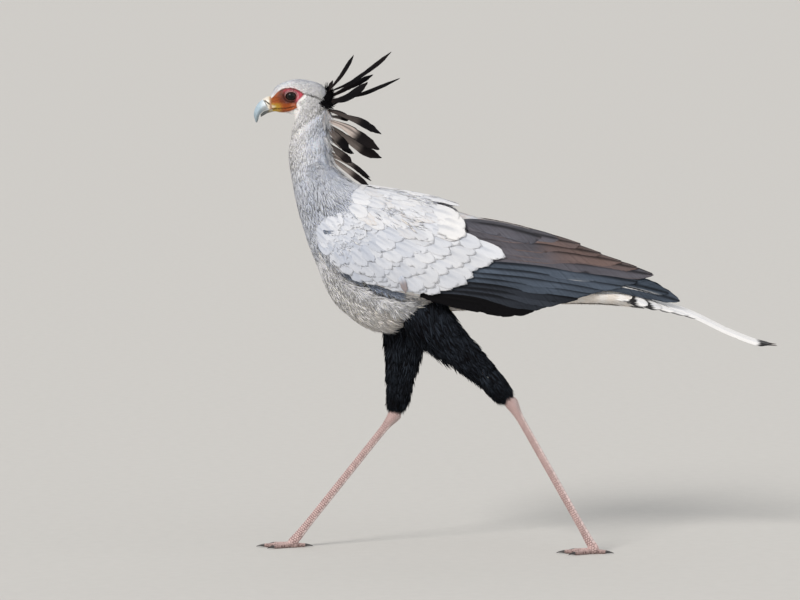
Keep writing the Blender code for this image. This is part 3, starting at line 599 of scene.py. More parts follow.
def face_colours(points, hues):
    """Orange before the eye, red-pink over and behind it, yellow along the gape; painted shade in
    dark maroon round and below the eye and in the fold under the brow, and a painted pale-pink
    highlight on the ring over the eye.
    """
    x, z = points[:, 0], points[:, 2]
    away = np.stack([(x - EYE_X) / 1.25, z - EYE_Z], -1)
    reach = np.linalg.norm(away, axis=-1)
    turn = np.degrees(np.arctan2(away[:, 1], away[:, 0]))
    blotch = ripples(points, 7, 13)
    # Painted shade: dark maroon round the eye, strongest below and before it.
    tint = mixed(hues["orange"], hues["maroon"], ease(26, 13, reach) * (0.85 + 0.15 * blotch))
    tint = mixed(tint, hues["yellow"] * 0.8, ease(-464, -475, x) * (0.45 + 0.15 * blotch))
    behind = ease(-75, -30, turn) * ease(165, 105, turn)
    tint = mixed(tint, hues["red"], np.clip(ease(7.5, 10, reach) * ease(21, 16, reach) * behind, 0, 1))
    # Painted highlight: a pale pink ring over and behind the eye.
    tint = mixed(tint, hues["red"] * 0.7 + hues["white"] * 0.3,
                 0.7 * ease(1.8, 0.4, np.abs(reach - 11)) * ease(-50, 0, turn) * ease(170, 120, turn))
    # Painted shade: a dark maroon line in the fold under the brow.
    tint = mixed(tint, hues["maroon"], 0.9 * ease(1.9, 0.6, line_distance(points, BROW)))
    low = ease(866, 859, z)
    tint = mixed(tint, hues["orange"] * 1.2, 0.85 * low)
    tint = mixed(tint, hues["yellow"], low * ease(-444, -458, x) * (0.8 + 0.2 * blotch))
    front = ease(1, 0.4, np.hypot((x + 468) / 10, (z - 857) / 4))
    tint = mixed(tint, hues["yellow"] * 0.5 + hues["white"] * 0.5, 0.75 * front)
    corner = ease(6, 2, np.hypot(x + 427, z - 859))
    tint = mixed(tint, hues["orange"] * 1.3 + hues["white"] * 0.12, 0.6 * corner)
    seam = ease(1.0, 0.3, line_distance(points, MOUTH))
    tint = mixed(tint, hues["brown"] * 0.25, 0.8 * seam)
    folds = ripples(points * (1, 1, 1.6), 3.2, 11)
    return tint * (1 + 0.2 * folds)[:, None]


def relief(points, angle):
    """Height of the head's own forms over its plain surface."""
    x, z = points[:, 0], points[:, 2]
    brow = 2.6 * ease(4.2, 0, line_distance(points, [(x, z + 1.8) for x, z in BROW]))
    fold = -1.3 * ease(1.5, 0.2, line_distance(points, BROW))
    socket = -2.4 * ease(15, 8, np.hypot((x - EYE_X) / 1.25, z - EYE_Z))
    cheek = 1.5 * ease(9, 0, np.hypot(x + 441, (z - 861) * 1.4))
    lore = -1.0 * ease(9, 2, np.hypot((x + 462) / 1.3, z - 868))
    mouth = -2.6 * ease(1.5, 0.2, line_distance(points, MOUTH))
    lips = 1.1 * ease(2.6, 0.6, np.abs(line_distance(points, MOUTH) - 2.6)) * ease(-480, -470, x)
    folds = 0.3 * ripples(points * (1, 1, 1.7), 4, 12) * bare(points)
    seen = ease(0.25, 0.5, angle)
    return (brow + fold + socket + cheek + lore + mouth + lips) * seen + folds


BODY = Form(BODY_SECTIONS)
WING = Form(WING_SECTIONS, WING_LOW_ANGLE)
LEGS = {name: Limb([(x, SIDES[name] * y, z, a, b) for x, y, z, a, b in SHANKS[name]]) for name in SIDES}


def lock_faces(rows):
    """Triangles of one lock: three points a row, and one at the tip."""
    faces = [(0, 1, 2)]
    for k in range(rows - 1):
        a, b = 3 * k, 3 * k + 3
        for i in range(3):
            n = (i + 1) % 3
            faces += [(a + i, b + n, b + i), (a + i, a + n, b + n)]
    a, tip = 3 * rows - 3, 3 * rows
    faces += [(a + i, a + (i + 1) % 3, tip) for i in range(3)]
    return np.array(faces)


def locks(heap, root, along, out, length, width, curl, tint, patch, rows=3):
    """Closed tapered locks, one at each root, with a raised ridge and a fine tip."""
    aside = unit(np.cross(along, out))
    out = unit(np.cross(aside, along))
    points = np.empty((len(root), rows * 3 + 1, 3))
    shades = np.empty_like(points)
    places = np.empty((len(root), rows * 3 + 1, 2))
    for k in range(rows):
        share = k / rows
        half = (width / 2 * np.interp(share, (0, 0.35, 0.75, 1), (0.5, 1, 0.7, 0.1)))[:, None]
        centre = root + along * (length * share)[:, None] + out * (curl * length * share ** 2)[:, None]
        for i, (across, rise) in enumerate(((-1, 0), (0, 0.09), (1, 0))):
            points[:, 3 * k + i] = centre + aside * half * across + out * half * rise
            # Painted shade: each lock darker toward its root, where the other locks lie over it, and a little lighter
            # at the tip.
            shades[:, 3 * k + i] = tint * np.interp(share, (0, 0.5, 1), (0.88, 0.99, 1.03))
            places[:, 3 * k + i] = patch + PATCH * np.array([0.5 + 0.5 * across, share])
    points[:, -1] = root + along * length[:, None] + out * (curl * length)[:, None]
    shades[:, -1] = tint * 1.04
    places[:, -1] = patch + PATCH * np.array([0.5, 1])
    one = turned_outward(points[0], lock_faces(rows))
    faces = (one[None] + (np.arange(len(root)) * (rows * 3 + 1))[:, None, None]).reshape(-1, 3)
    heap.add(points.reshape(-1, 3), faces, shades.reshape(-1, 3), places.reshape(-1, 2))


def tufts(heap, frames, size, pose, tint, patch, chance, blades=5, rows=3):
    """A tuft of locks at each place. Frames are the places, the lie and the way outward, size
    the length and width of each tuft, and pose its lift, splay and curl."""
    here, along, out = frames
    length, width = size
    lift, splay, curl = pose
    aside = np.cross(along, out)
    count = len(here)
    for blade in range(blades):
        fan = 2 * blade / (blades - 1) - 1 if blades > 1 else 0.0
        turn = splay * (fan + chance.normal(0, 0.3, count))
        rise = lift + 0.05 * splay * chance.normal(0, 1, count)
        way = unit(along * np.cos(turn)[:, None] + aside * np.sin(turn)[:, None] + out * rise[:, None])
        start = here + aside * (fan * width * 0.22)[:, None]
        long = length * (1 - 0.2 * fan ** 2) * chance.uniform(0.82, 1.12, count)
        shade = tint * (1 + chance.normal(0, 0.025, count))[:, None]
        locks(heap, start, way, out, long, width * (1.5 / blades) * chance.uniform(0.85, 1.15, count),
              curl + 0.08 * splay * chance.normal(0, 1, count), shade, patch, rows)


def scattered(form, start, end, spacing, chance):
    """Staggered places all over a form, as sections and angles, spaced by its section."""
    turns = np.linspace(-math.pi, math.pi, 97)
    all_u, all_angles = [], []
    u, row = start, 0
    while u < end:
        gap = float(spacing(u))
        ring = form.point(np.full(97, u), turns)
        pace = np.linalg.norm(form.point(np.full(97, u + 0.02), turns) - ring, axis=1) / 0.02
        reach = np.concatenate([[0], np.cumsum(np.linalg.norm(np.diff(ring, axis=0), axis=1))])
        count = max(6, int(reach[-1] / gap))
        along = (np.arange(count) + 0.5 * (row % 2) + chance.uniform(-0.3, 0.3, count)) / count
        angle = np.interp(np.mod(along, 1) * reach[-1], reach, turns)
        keep = chance.random(count) < np.interp(angle, turns, pace) / pace.max() * 1.15
        all_u.append(np.full(count, u)[keep] + chance.uniform(-0.35, 0.35, keep.sum()) * gap / pace.max())
        all_angles.append(angle[keep])
        u += gap * 0.85 / pace.max()
        row += 1
    return np.clip(np.concatenate(all_u), 0.02, form.last - 0.02), np.concatenate(all_angles)


def sheet_faces(rows, columns):
    """Triangles of a thin closed sheet: a grid, its twin below, and the rim between them."""
    grid = np.arange(rows * columns).reshape(rows, columns)
    a, b, c, d = grid[:-1, :-1], grid[1:, :-1], grid[1:, 1:], grid[:-1, 1:]
    top = np.concatenate([np.stack([a, b, c], -1).reshape(-1, 3), np.stack([a, c, d], -1).reshape(-1, 3)])
    rim = np.concatenate([grid[0, :-1], grid[:-1, -1], grid[-1, :0:-1], grid[:0:-1, 0]])
    after, below = np.roll(rim, -1), rows * columns
    sides = np.concatenate([np.stack([rim, after, after + below], -1), np.stack([rim, after + below, rim + below], -1)])
    return np.concatenate([top, top[:, ::-1] + below, sides])


def map_cell(cell):
    """Corner and size of one vane's own square of the map."""
    number, total = cell
    side = math.ceil(math.sqrt(total))
    return np.array([number % side, number // side]) / side, 1 / side


def sheet(heap, spots, outs, tint, vane, cell, thick):
    """Adds one vane: a grid of points with the way outward at each, its colours, its own
    places in millimetres across and along, and its cell on the map."""
    rows, columns, _ = spots.shape
    top = spots.reshape(-1, 3)
    points = np.concatenate([top, top - outs.reshape(-1, 3) * thick])
    faces = turned_outward(points, sheet_faces(rows, columns))
    corner, size = map_cell(cell)
    along, across = np.meshgrid(np.linspace(0.06, 0.94, rows), np.linspace(0.06, 0.94, columns),
                                indexing="ij")
    patch = corner + size * np.stack([across, along], -1).reshape(-1, 2)
    heap.add(points, faces, np.tile(tint.reshape(-1, 3), (2, 1)), np.tile(patch, (2, 1)),
             np.tile(vane.reshape(-1, 2), (2, 1)))


ACROSS = np.array([-1, -0.88, -0.6, -0.3, -0.07, 0.07, 0.3, 0.6, 0.88, 1])
QUILL = ((0, 0.12, 0.35, 0.7, 0.9, 0.97, 1), (0.3, 0.62, 0.92, 1, 0.95, 0.78, 0.45))
ROUND = ((0, 0.2, 0.45, 0.72, 0.87, 0.95, 1), (0.4, 0.75, 0.97, 1, 0.9, 0.7, 0.38))
STRAP = ((0, 0.1, 0.5, 0.8, 0.93, 0.96, 1), (0.6, 0.9, 1, 0.9, 0.75, 0.3, 0.12))
SPOON = ((0, 0.2, 0.4, 0.6, 0.8, 0.92, 1), (0.14, 0.24, 0.5, 0.82, 1, 0.85, 0.3))


def vane_grid(outline, width, rows, chance, splits, ragged):
    """Shares of length and signed half widths over a vane, with splits in its edges."""
    share = 1 - (1 - np.linspace(0, 1, rows)) ** 1.25
    half = np.interp(share, *outline)[:, None] * width / 2 * np.abs(ACROSS)[None] * np.sign(ACROSS)[None]
    for _ in range(splits):
        row, edge = chance.integers(rows // 4, rows - 1), chance.choice((0, -1))
        half[row, edge] *= chance.uniform(0.82, 0.94)
    along = np.tile(share[:, None], (1, len(ACROSS)))
    along += chance.normal(0, ragged, along.shape) * (np.abs(ACROSS) > 0.2) * (share[:, None] > 0.5)
    along -= 0.05 * (ACROSS ** 2)[None] * (share[:, None] ** 3)
    return along, half


def frayed(heap, spots, outs, tint, patch, length, chance):
    """Loose barbs round the end of a vane, which soften its edge."""
    rows, columns, _ = spots.shape
    late = range(int(rows * 0.55), rows - 1)
    edge = np.array([(rows - 1, c) for c in range(columns)] + [(r, c) for r in late for c in (0, columns - 1)])
    edge = np.repeat(edge, 2, 0)
    r, c = edge.T
    ahead = unit(spots[r, c] - spots[r - 1, c])
    aside = unit(spots[r, c] - (spots[r, 4] + spots[r, 5]) / 2)
    count = len(edge)
    fan = chance.uniform(0.15, 0.6, count)[:, None]
    way = unit(ahead + aside * fan + outs[r, c] * chance.uniform(-0.06, 0.1, count)[:, None])
    long = length * chance.uniform(0.5, 1.1, count)
    start = spots[r, c] - way * (long * 0.45)[:, None] + aside * chance.uniform(-1.2, 0.2, count)[:, None]
    locks(heap, start, way, outs[r, c], long, np.full(count, 1.1), -0.05, tint[r, c] / 0.95,
          np.tile(patch, (count, 1)), 2)


def laid_feather(heap, form, root, tip, width, lift, kind, chance, cell, outline=QUILL, bend=0.03,
                 tilt=0.8, rows=16, side=LEFT, splits=3, camber=0.06, fray=0, mark_or_shade=0.0):
    """A feather on a form from root to tip in the side view. Lift is its height over the form
    at root and tip. Its lower edge stands up over the feather below."""
    run = np.subtract(tip, root)
    along, half = vane_grid(outline, width, rows, chance, splits, 0.9 / math.hypot(*run))
    aside = np.array([-run[1], run[0]])
    t = np.clip(along[:, 4], 0, 1)
    flat = np.array(root) + run * t[:, None] + aside * (bend * 4 * t * (1 - t))[:, None]
    line = form.point(*form.seen(flat[:, 0], flat[:, 1]))
    _, _, out = form.frame(*form.place(line))
    ahead = unit(np.gradient(line, axis=0))
    down = unit(np.cross(ahead, out))
    length = np.linalg.norm(line[-1] - line[0])
    raw = (line[:, None] + down[:, None] * half[..., None]
           + ahead[:, None] * ((along - t[:, None]) * length)[..., None])
    u, angle = form.place(raw.reshape(-1, 3))
    rise = lift[0] + (lift[1] - lift[0]) * ease(0, 0.6, along)
    rise = rise + tilt * ACROSS + camber * width * (1 - ACROSS ** 2) * 0.5
    rise += 0.25 * np.sin(along * 9 + chance.uniform(0, 6)) * ACROSS
    rise[:, 4:6] += 0.25
    spots = form.point(u, angle, rise.ravel(), LEFT)
    outs = form.frame(u, angle, rise.ravel())[2]
    spots[:, 1] *= -side
    outs[:, 1] *= -side
    shape = (rows, len(ACROSS), 3)
    tint = feather_colours(kind, along, np.tile(ACROSS, (rows, 1)), chance, length, mark_or_shade)
    vane = np.stack([half, along * length], -1)
    sheet(heap, spots.reshape(shape), outs.reshape(shape), tint, vane, cell, 0.35)
    if fray:
        patch = map_cell(cell)[0] + np.array((0.4, 0.4)) * map_cell(cell)[1]
        frayed(heap, spots.reshape(shape), outs.reshape(shape), tint, patch, fray, chance)


def open_feather(heap, points, widths, across, kind, chance, cell, outline, rows=22, splits=4,
                 camber=0.08, mark_or_shade=0.0):
    """A feather in the open along a smooth path; across points over its flat."""
    reach = float(np.linalg.norm(np.diff(np.array(points, float), axis=0), axis=1).sum())
    along, half = vane_grid(outline, widths, rows, chance, splits, 0.8 / reach)
    t = np.clip(along[:, 4], 0, 1)
    line = path(points, t)
    ahead = unit(path(points, np.minimum(t + 0.02, 1)) - path(points, np.maximum(t - 0.02, 0)))
    side = unit(across - ahead * (ahead @ np.asarray(across))[:, None])
    out = unit(np.cross(side, ahead))
    out *= np.sign(out[:, 2:3] + 1e-9)
    length = float(np.linalg.norm(np.diff(line, axis=0), axis=1).sum())
    spots = (line[:, None] + side[:, None] * half[..., None]
             + ahead[:, None] * ((along - t[:, None]) * length)[..., None]
             + out[:, None] * ((1 - ACROSS ** 2) * camber * widths)[None, :, None])
    spots[:, 4:6] += out[:, None] * 0.25
    outs = np.tile(out[:, None], (1, len(ACROSS), 1))
    tint = feather_colours(kind, along, np.tile(ACROSS, (rows, 1)), chance, length, mark_or_shade)
    sheet(heap, spots, outs, tint, np.stack([half, along * length], -1), cell, 0.4)


# For each kind of dark feather, its share of slate bloom, of worn brown and of pale edge.
DARK_FEATHERS = {"black": (0.0, 0.0, 0.02), "dusk": (0.45, 0.04, 0.15), "slate": (1.3, 0.03, 0.3),
                 "primary": (1.3, 0, 0.2), "umber": (1.45, 0.45, 0.3), "lined": (1.3, 0.03, 0.3), "brown": (1.3, 0.9, 0.5),
                 "top": (1.5, 0.42, 0.1)}


def feather_colours(kind, along, across, chance, length, mark_or_shade=0.0):
    """Colours over one vane; along runs from root to tip, and plus across is the lower edge."""
    hues = palette()
    edge = ease(0.75, 1, np.abs(across))
    shaft = ease(0.16, 0.05, np.abs(across))
    phase = chance.uniform(0, 6)
    cloud = np.sin(along * chance.uniform(5, 9) + phase) * 0.5 + 0.5
    streak = np.sin(across * 9 + along * 23 + phase) * 0.5 + 0.5
    if kind in DARK_FEATHERS:
        bloom, worn, fringe = DARK_FEATHERS[kind]
        tint = mixed(hues["black"], hues["slate"], bloom * (0.6 + 0.25 * cloud + 0.15 * streak))
        late = ease(0.35, 0.65, along) if kind == "brown" else 0.9
        tint = mixed(tint, hues["brown"] * 1.35, worn * (0.75 + 0.25 * cloud) * np.maximum(late, 0.45))
        # Painted shade: each feather darker toward its upper edge, under the feather above; the last factor is a random
        # tone.
        tint = tint * (0.72 + 0.4 * ease(-0.9, 0.9, across))[..., None] * chance.uniform(0.82, 1.2)
        rim = hues["brown"] * 2.6 if kind in ("umber", "brown") else hues["shade"]
        tint = mixed(tint, rim, fringe * ease(0.87, 1, across) * ease(0.15, 0.4, along))
        tint = mixed(tint, hues["brown"] * 1.8, 0.3 * worn * ease(0.93, 1, along))
        if kind == "primary":
            strip = ease(0.4, 0.6, across) * ease(0.3, 0.4, along) * ease(0.97, 0.85, along)
            tint = mixed(tint, hues["white"], 0.9 * strip * (0.7 + 0.3 * streak))
        if kind == "lined":
            strip = ease(0.86, 1, across) * ease(0.64, 0.68, along) * ease(0.8, 0.76, along)
            tint = mixed(tint, hues["white"], 0.85 * strip)
        if kind == "top":
            tint = mixed(tint, hues["tan"] + 0.25, ease(-0.8, -1, across) * ease(0.2, 0.35, along))
        tint = mixed(tint, hues["black"] * 0.5, 0.8 * shaft * ease(0, 0.3, along))
    elif kind == "crest":
        tint = mixed(hues["black"], hues["brown"] * 0.6, 0.3 * ease(0.5, 0.1, along) + 0.1 * cloud)
        pale = mark_or_shade * ease(0.76, 0.62, along) * ease(0.08, 0.2, along) * ease(0.8, 0.6, across)
        tint = mixed(tint, hues["tan"], pale * (0.75 + 0.25 * streak))
        tint = mixed(tint, hues["black"], 0.7 * shaft * pale)
    elif kind in ("tail", "streamer"):
        tint = mixed(hues["white"], hues["grey"], 0.15 * cloud + 0.3 * shaft)
        low, high = (0.845, 1.1) if kind == "streamer" else (mark_or_shade, mark_or_shade + 16 / length)
        slant = along + (0.012 if kind == "streamer" else 0.09) * across
        dark = ease(low - 0.012, low, slant) * ease(high + 0.012, high, slant)
        tint = mixed(tint, hues["black"], dark)
        if kind == "tail":
            rim = ease(0.62, 0.85, np.abs(across)) * ease(low - 0.1, low, along) + ease(0.35, 0.25, along)
            tint = mixed(tint, hues["black"], 0.9 * np.clip(rim, 0, 1))
        else:
            tint = mixed(tint, hues["brown"] * 0.6, 0.7 * ease(0.92, 0.98, along))
    elif kind == "vent":
        tint = mixed(hues["white"], hues["buff"], 0.25 * cloud + 0.2 * streak)
        tint = mixed(tint, hues["black"], 0.9 * ease(0.87, 1, across) * ease(0.3, 0.5, along) * min(mark_or_shade, 1))
        tint = mixed(tint, hues["black"], 0.95 * ease(0.55, 0.6, along - 0.05 * across) * (mark_or_shade > 1))
    else:
        pale = {"covert": 0.42, "small": 0.35, "scapular": 0.5, "long": 0.9, "rusty": 0.2}[kind] + chance.uniform(-0.1, 0.1)
        tint = mixed(hues["grey"], hues["white"], np.clip(pale + 0.2 * edge * ease(0.4, 0.9, along), 0, 1))
        # Painted shade: darker blue-grey toward the root, where the next feathers lie over it, with a little random
        # tone.
        tint = mixed(tint, hues["shade"], 0.2 * ease(0.75, 0.15, along) + 0.05 * cloud + 0.05 * streak)
        # Painted shade: coverts toward the lower front of the wing darkened in blue-grey.
        tint = mixed(tint, hues["shade"], mark_or_shade)
        if kind == "scapular":
            worn = chance.uniform(0, 1) ** 3
            tint = mixed(tint, hues["buff"], 0.5 * worn * streak ** 2 * ease(0.3, 0.8, along))
            tint = mixed(tint, hues["brown"] * 1.3, 0.45 * worn * edge * ease(0.75, 0.95, along))
        if kind == "rusty":
            tint = mixed(tint, hues["brown"] * 1.6, 0.75 * ease(0.4, 0.7, along))
        tint = mixed(tint, hues["shade"] * 0.7, 0.3 * shaft * ease(0.95, 0.6, along))
    return tint * (1 + chance.normal(0, 0.03))


def node(tree, kind, sockets=None, **settings):
    """Adds one shader node with its settings, and links or fills its sockets."""
    made = tree.nodes.new("ShaderNode" + kind)
    for name, value in settings.items():
        setattr(made, name, value)
    for key, value in (sockets or {}).items():
        if isinstance(value, bpy.types.NodeSocket):
            tree.links.new(value, made.inputs[key])
        else:
            made.inputs[key].default_value = value
    return made


def surface(name):
    """A new material, with its tree, its shader and the colour carried by the mesh."""
    material = bpy.data.materials.get(name)
    if material:
        return material, None, None, None
    material = bpy.data.materials.new(name)
    material.use_nodes = True
    tree = material.node_tree
    shader = tree.nodes["Principled BSDF"]
    tint = node(tree, "VertexColor", layer_name="tint").outputs["Color"]
    return material, tree, shader, tint


def keratin_vane(name, roughness, sheen, gloss=0.2, parting_shade=0.9):
    """Keratin barbs of a closed vane, hooked side by side: a soft satin with fine slanted
    lines, parted here and there where the hooks have let go, the partings painted darker as
    shade in the gaps. Real barbs stand 0.3 mm apart and are drawn coarser, so that they show."""
    material, tree, shader, tint = surface(name)
    if tree is None:
        return material
    gap = bpy.context.scene.bird_sizes.barb_gap / MM
    places = node(tree, "UVMap", uv_map="Vane").outputs["UV"]
    split = node(tree, "SeparateXYZ", {"Vector": places})
    away = node(tree, "Math", {0: split.outputs["X"]}, operation="ABSOLUTE").outputs[0]
    slant = node(tree, "Math", {0: away, 1: -1.3, 2: split.outputs["Y"]}, operation="MULTIPLY_ADD").outputs[0]
    wobble = node(tree, "TexNoise", {"Vector": places, "Scale": 0.16, "Detail": 3.0})
    place = node(tree, "Math", {0: wobble.outputs["Fac"], 1: 3.0, 2: slant}, operation="MULTIPLY_ADD").outputs[0]
    turn = node(tree, "Math", {0: place, 1: 2 * math.pi / gap}, operation="MULTIPLY").outputs[0]
    wave = node(tree, "Math", {0: turn}, operation="SINE").outputs[0]
    line = node(tree, "MapRange", {"Value": wave, 1: -1.0, 2: 1.0, 3: 0.88, 4: 1.06}).outputs[0]
    clump = node(tree, "Math", {0: place, 1: 1 / 7}, operation="MULTIPLY").outputs[0]
    parting = node(tree, "TexNoise", {"W": clump, "Detail": 2.0}, noise_dimensions="1D").outputs["Fac"]
    gapped = node(tree, "MapRange", {"Value": parting, 1: 0.58, 2: 0.66, 3: 1.0, 4: parting_shade}).outputs[0]
    both = node(tree, "Math", {0: line, 1: gapped}, operation="MULTIPLY").outputs[0]
    shaded = node(tree, "VectorMath", {0: tint, "Scale": both}, operation="SCALE").outputs[0]
    bump = node(tree, "Bump", {"Height": wave, "Strength": 0.35, "Distance": 0.0004})
    tree.links.new(shaded, shader.inputs["Base Color"])
    tree.links.new(bump.outputs[0], shader.inputs["Normal"])
    shader.inputs["Roughness"].default_value = roughness
    shader.inputs["Sheen Weight"].default_value = sheen
    shader.inputs["Sheen Roughness"].default_value = 0.5
    shader.inputs["IOR"].default_value = 1.54
    shader.inputs["Specular IOR Level"].default_value = gloss
    return material


def downy_plumage(name="pale_down", sheen=0.3, gloss=0.2, through=0.55):
    """Loose downy barbs of small body feathers: matt, with a soft sheen at the edges of the
    pale ones and hardly any on the black. Light passes through the pale ones, so that the
    gaps between them stay light."""
    material, tree, shader, tint = surface(name)
    if tree is None:
        return material
    places = node(tree, "TexCoord").outputs["Object"]
    cloud = node(tree, "TexNoise", {"Vector": places, "Scale": 1 / (4 * MM), "Detail": 4.0})
    line = node(tree, "MapRange", {"Value": cloud.outputs["Fac"], 1: 0.3, 2: 0.7, 3: 0.94, 4: 1.04}).outputs[0]
    shaded = node(tree, "VectorMath", {0: tint, "Scale": line}, operation="SCALE").outputs[0]
    tree.links.new(shaded, shader.inputs["Base Color"])
    shader.inputs["Roughness"].default_value = 0.85
    shader.inputs["Sheen Weight"].default_value = sheen
    shader.inputs["Sheen Roughness"].default_value = 0.6
    shader.inputs["Specular IOR Level"].default_value = gloss
    shader.inputs["Subsurface Weight"].default_value = through
    shader.inputs["Subsurface Radius"].default_value = (0.006, 0.006, 0.005)
    return material


def bare_skin():
    """Thin living skin, creased in folds about 2 mm apart, with a faint moist gloss."""
    material, tree, shader, tint = surface("bare_skin")
    if tree is None:
        return material
    places = node(tree, "TexCoord").outputs["Object"]
    cells = node(tree, "TexVoronoi", {"Vector": places, "Scale": 1 / (2.2 * MM)}, feature="DISTANCE_TO_EDGE")
    fine = node(tree, "TexNoise", {"Vector": places, "Scale": 1 / (1.2 * MM), "Detail": 4.0})
    crease = node(tree, "MapRange", {"Value": cells.outputs["Distance"], 1: 0.0, 2: 0.16, 3: 0.72, 4: 1.04})
    shaded = node(tree, "VectorMath", {0: tint, "Scale": crease.outputs[0]}, operation="SCALE").outputs[0]
    height = node(tree, "Math", {0: cells.outputs["Distance"], 1: 1.6, 2: fine.outputs["Fac"]},
                  operation="MULTIPLY_ADD").outputs[0]
    bump = node(tree, "Bump", {"Height": height, "Strength": 0.5, "Distance": 0.0006})
    tree.links.new(shaded, shader.inputs["Base Color"])
    tree.links.new(bump.outputs[0], shader.inputs["Normal"])
    shader.inputs["Roughness"].default_value = 0.46
    shader.inputs["Subsurface Weight"].default_value = 0.12
    shader.inputs["Subsurface Radius"].default_value = (0.004, 0.0015, 0.001)
    shader.inputs["IOR"].default_value = 1.4
    return material


def keratin_horn(name, roughness, coat):
    """Grown horn of bill and claws: hard, smooth and a little glossy, with growth lines
    about 1.5 mm apart."""
    material, tree, shader, tint = surface(name)
    if tree is None:
        return material
    places = node(tree, "TexCoord").outputs["Object"]
    lines = node(tree, "TexNoise", {"Vector": places, "Scale": 1 / (3 * MM), "Detail": 5.0, "Distortion": 0.6})
    shade = node(tree, "MapRange", {"Value": lines.outputs["Fac"], 1: 0.3, 2: 0.7, 3: 0.86, 4: 1.1}).outputs[0]
    shaded = node(tree, "VectorMath", {0: tint, "Scale": shade}, operation="SCALE").outputs[0]
    bump = node(tree, "Bump", {"Height": lines.outputs["Fac"], "Strength": 0.2, "Distance": 0.0004})
    tree.links.new(shaded, shader.inputs["Base Color"])
    tree.links.new(bump.outputs[0], shader.inputs["Normal"])
    shader.inputs["Roughness"].default_value = roughness
    shader.inputs["Coat Weight"].default_value = coat
    shader.inputs["Coat Roughness"].default_value = 0.2
    shader.inputs["IOR"].default_value = 1.54
    return material


def leg_scales():
    """Horny leg scales over skin: satin plates with a dusty grain, dull between them."""
    material, tree, shader, tint = surface("leg_scales")
    if tree is None:
        return material
    places = node(tree, "TexCoord").outputs["Object"]
    grain = node(tree, "TexNoise", {"Vector": places, "Scale": 1 / (1.5 * MM), "Detail": 5.0})
    shade = node(tree, "MapRange", {"Value": grain.outputs["Fac"], 1: 0.3, 2: 0.7, 3: 0.84, 4: 1.08}).outputs[0]
    shaded = node(tree, "VectorMath", {0: tint, "Scale": shade}, operation="SCALE").outputs[0]
    bump = node(tree, "Bump", {"Height": grain.outputs["Fac"], "Strength": 0.35, "Distance": 0.0003})
    tree.links.new(shaded, shader.inputs["Base Color"])
    tree.links.new(bump.outputs[0], shader.inputs["Normal"])
    shader.inputs["Roughness"].default_value = 0.55
    shader.inputs["IOR"].default_value = 1.5
    return material


def wet_eye():
    """Cornea over the iris: optically smooth, wet and clear."""
    material, tree, shader, tint = surface("wet_eye")
    if tree is None:
        return material
    places = node(tree, "TexCoord").outputs["Object"]
    fibres = node(tree, "TexNoise", {"Vector": places, "Scale": 1 / (0.8 * MM), "Detail": 2.0})
    shade = node(tree, "MapRange", {"Value": fibres.outputs["Fac"], 1: 0.3, 2: 0.7, 3: 0.8, 4: 1.15}).outputs[0]
    shaded = node(tree, "VectorMath", {0: tint, "Scale": shade}, operation="SCALE").outputs[0]
    tree.links.new(shaded, shader.inputs["Base Color"])
    shader.inputs["Roughness"].default_value = 0.06
    shader.inputs["Specular IOR Level"].default_value = 0.2
    shader.inputs["Coat Weight"].default_value = 0.25
    shader.inputs["Coat Roughness"].default_value = 0.02
    shader.inputs["IOR"].default_value = 1.38
    return material


def closed_grid(spots):
    """Points and triangles of a tube of rings, closed round and at both ends."""
    rows, columns, _ = spots.shape
    grid = np.arange(rows * columns).reshape(rows, columns)
    after = np.roll(grid, -1, 1)
    a, b, c, d = grid[:-1], grid[1:], after[1:], after[:-1]
    sides = np.concatenate([np.stack([a, b, c], -1).reshape(-1, 3), np.stack([a, c, d], -1).reshape(-1, 3)])
    first = np.stack([np.full(columns, rows * columns), grid[0], after[0]], -1)
    last = np.stack([np.full(columns, rows * columns + 1), after[-1], grid[-1]], -1)
    points = np.concatenate([spots.reshape(-1, 3), spots[[0, -1]].mean(1)])
    faces = np.concatenate([sides, first, last])
    return points, turned_outward(points, faces)


def applied(piece, *steps):
    """Adds modifiers, each a name, a kind and its settings, and applies them."""
    for label, kind, settings in steps:
        change = piece.modifiers.new(label, kind)
        for name, value in settings.items():
            setattr(change, name, value)
    bpy.context.view_layer.update()
    result = bpy.data.meshes.new_from_object(piece.evaluated_get(bpy.context.evaluated_depsgraph_get()))
    piece.modifiers.clear()
    old, piece.data = piece.data, result
    bpy.data.meshes.remove(old)
    return piece


def plain_piece(name, spots):
    points, faces = closed_grid(spots)
    return mesh_piece(name, points, faces, np.zeros((len(points), 3)))


def mesh_points(piece):
    """Vertices in millimetres and their normals."""
    count = len(piece.data.vertices)
    points, normals = np.empty(count * 3, np.float32), np.empty(count * 3, np.float32)
    piece.data.vertices.foreach_get("co", points)
    piece.data.vertices.foreach_get("normal", normals)
    return points.reshape(-1, 3) / MM, normals.reshape(-1, 3)


def recoloured(piece, tint):
    """Writes the colour of each point, and leaves no map."""
    mesh = piece.data
    for label in list(mesh.color_attributes):
        mesh.color_attributes.remove(label)
    layer = mesh.color_attributes.new("tint", "FLOAT_COLOR", "POINT")
    shades = np.concatenate([np.clip(tint, 0, 1), np.ones((len(tint), 1))], -1)
    layer.data.foreach_set("color", shades.astype(np.float32).ravel())
    while mesh.uv_layers:
        mesh.uv_layers.remove(mesh.uv_layers[0])
    mesh.polygons.foreach_set("use_smooth", np.ones(len(mesh.polygons), bool))
    mesh.update()


SKIN_DEPTH = ((0, 1.5, 3, 5, 8, 14, 18), (0.2, 0.8, 1.4, 2.2, 3.6, 4.5, 3.5))


def skin_depth(u, points):
    """How far the skin lies inside the plumage, in millimetres; none on the bare face."""
    scale = bpy.context.scene.bird_sizes.coat_depth / (5 * MM)
    return np.interp(u, *SKIN_DEPTH) * scale * (1 - bare(points))


def body_patch(u, angle, side_sign):
    return chart(0, u / BODY.last, 0.5 + 0.5 * side_sign * angle / math.pi)


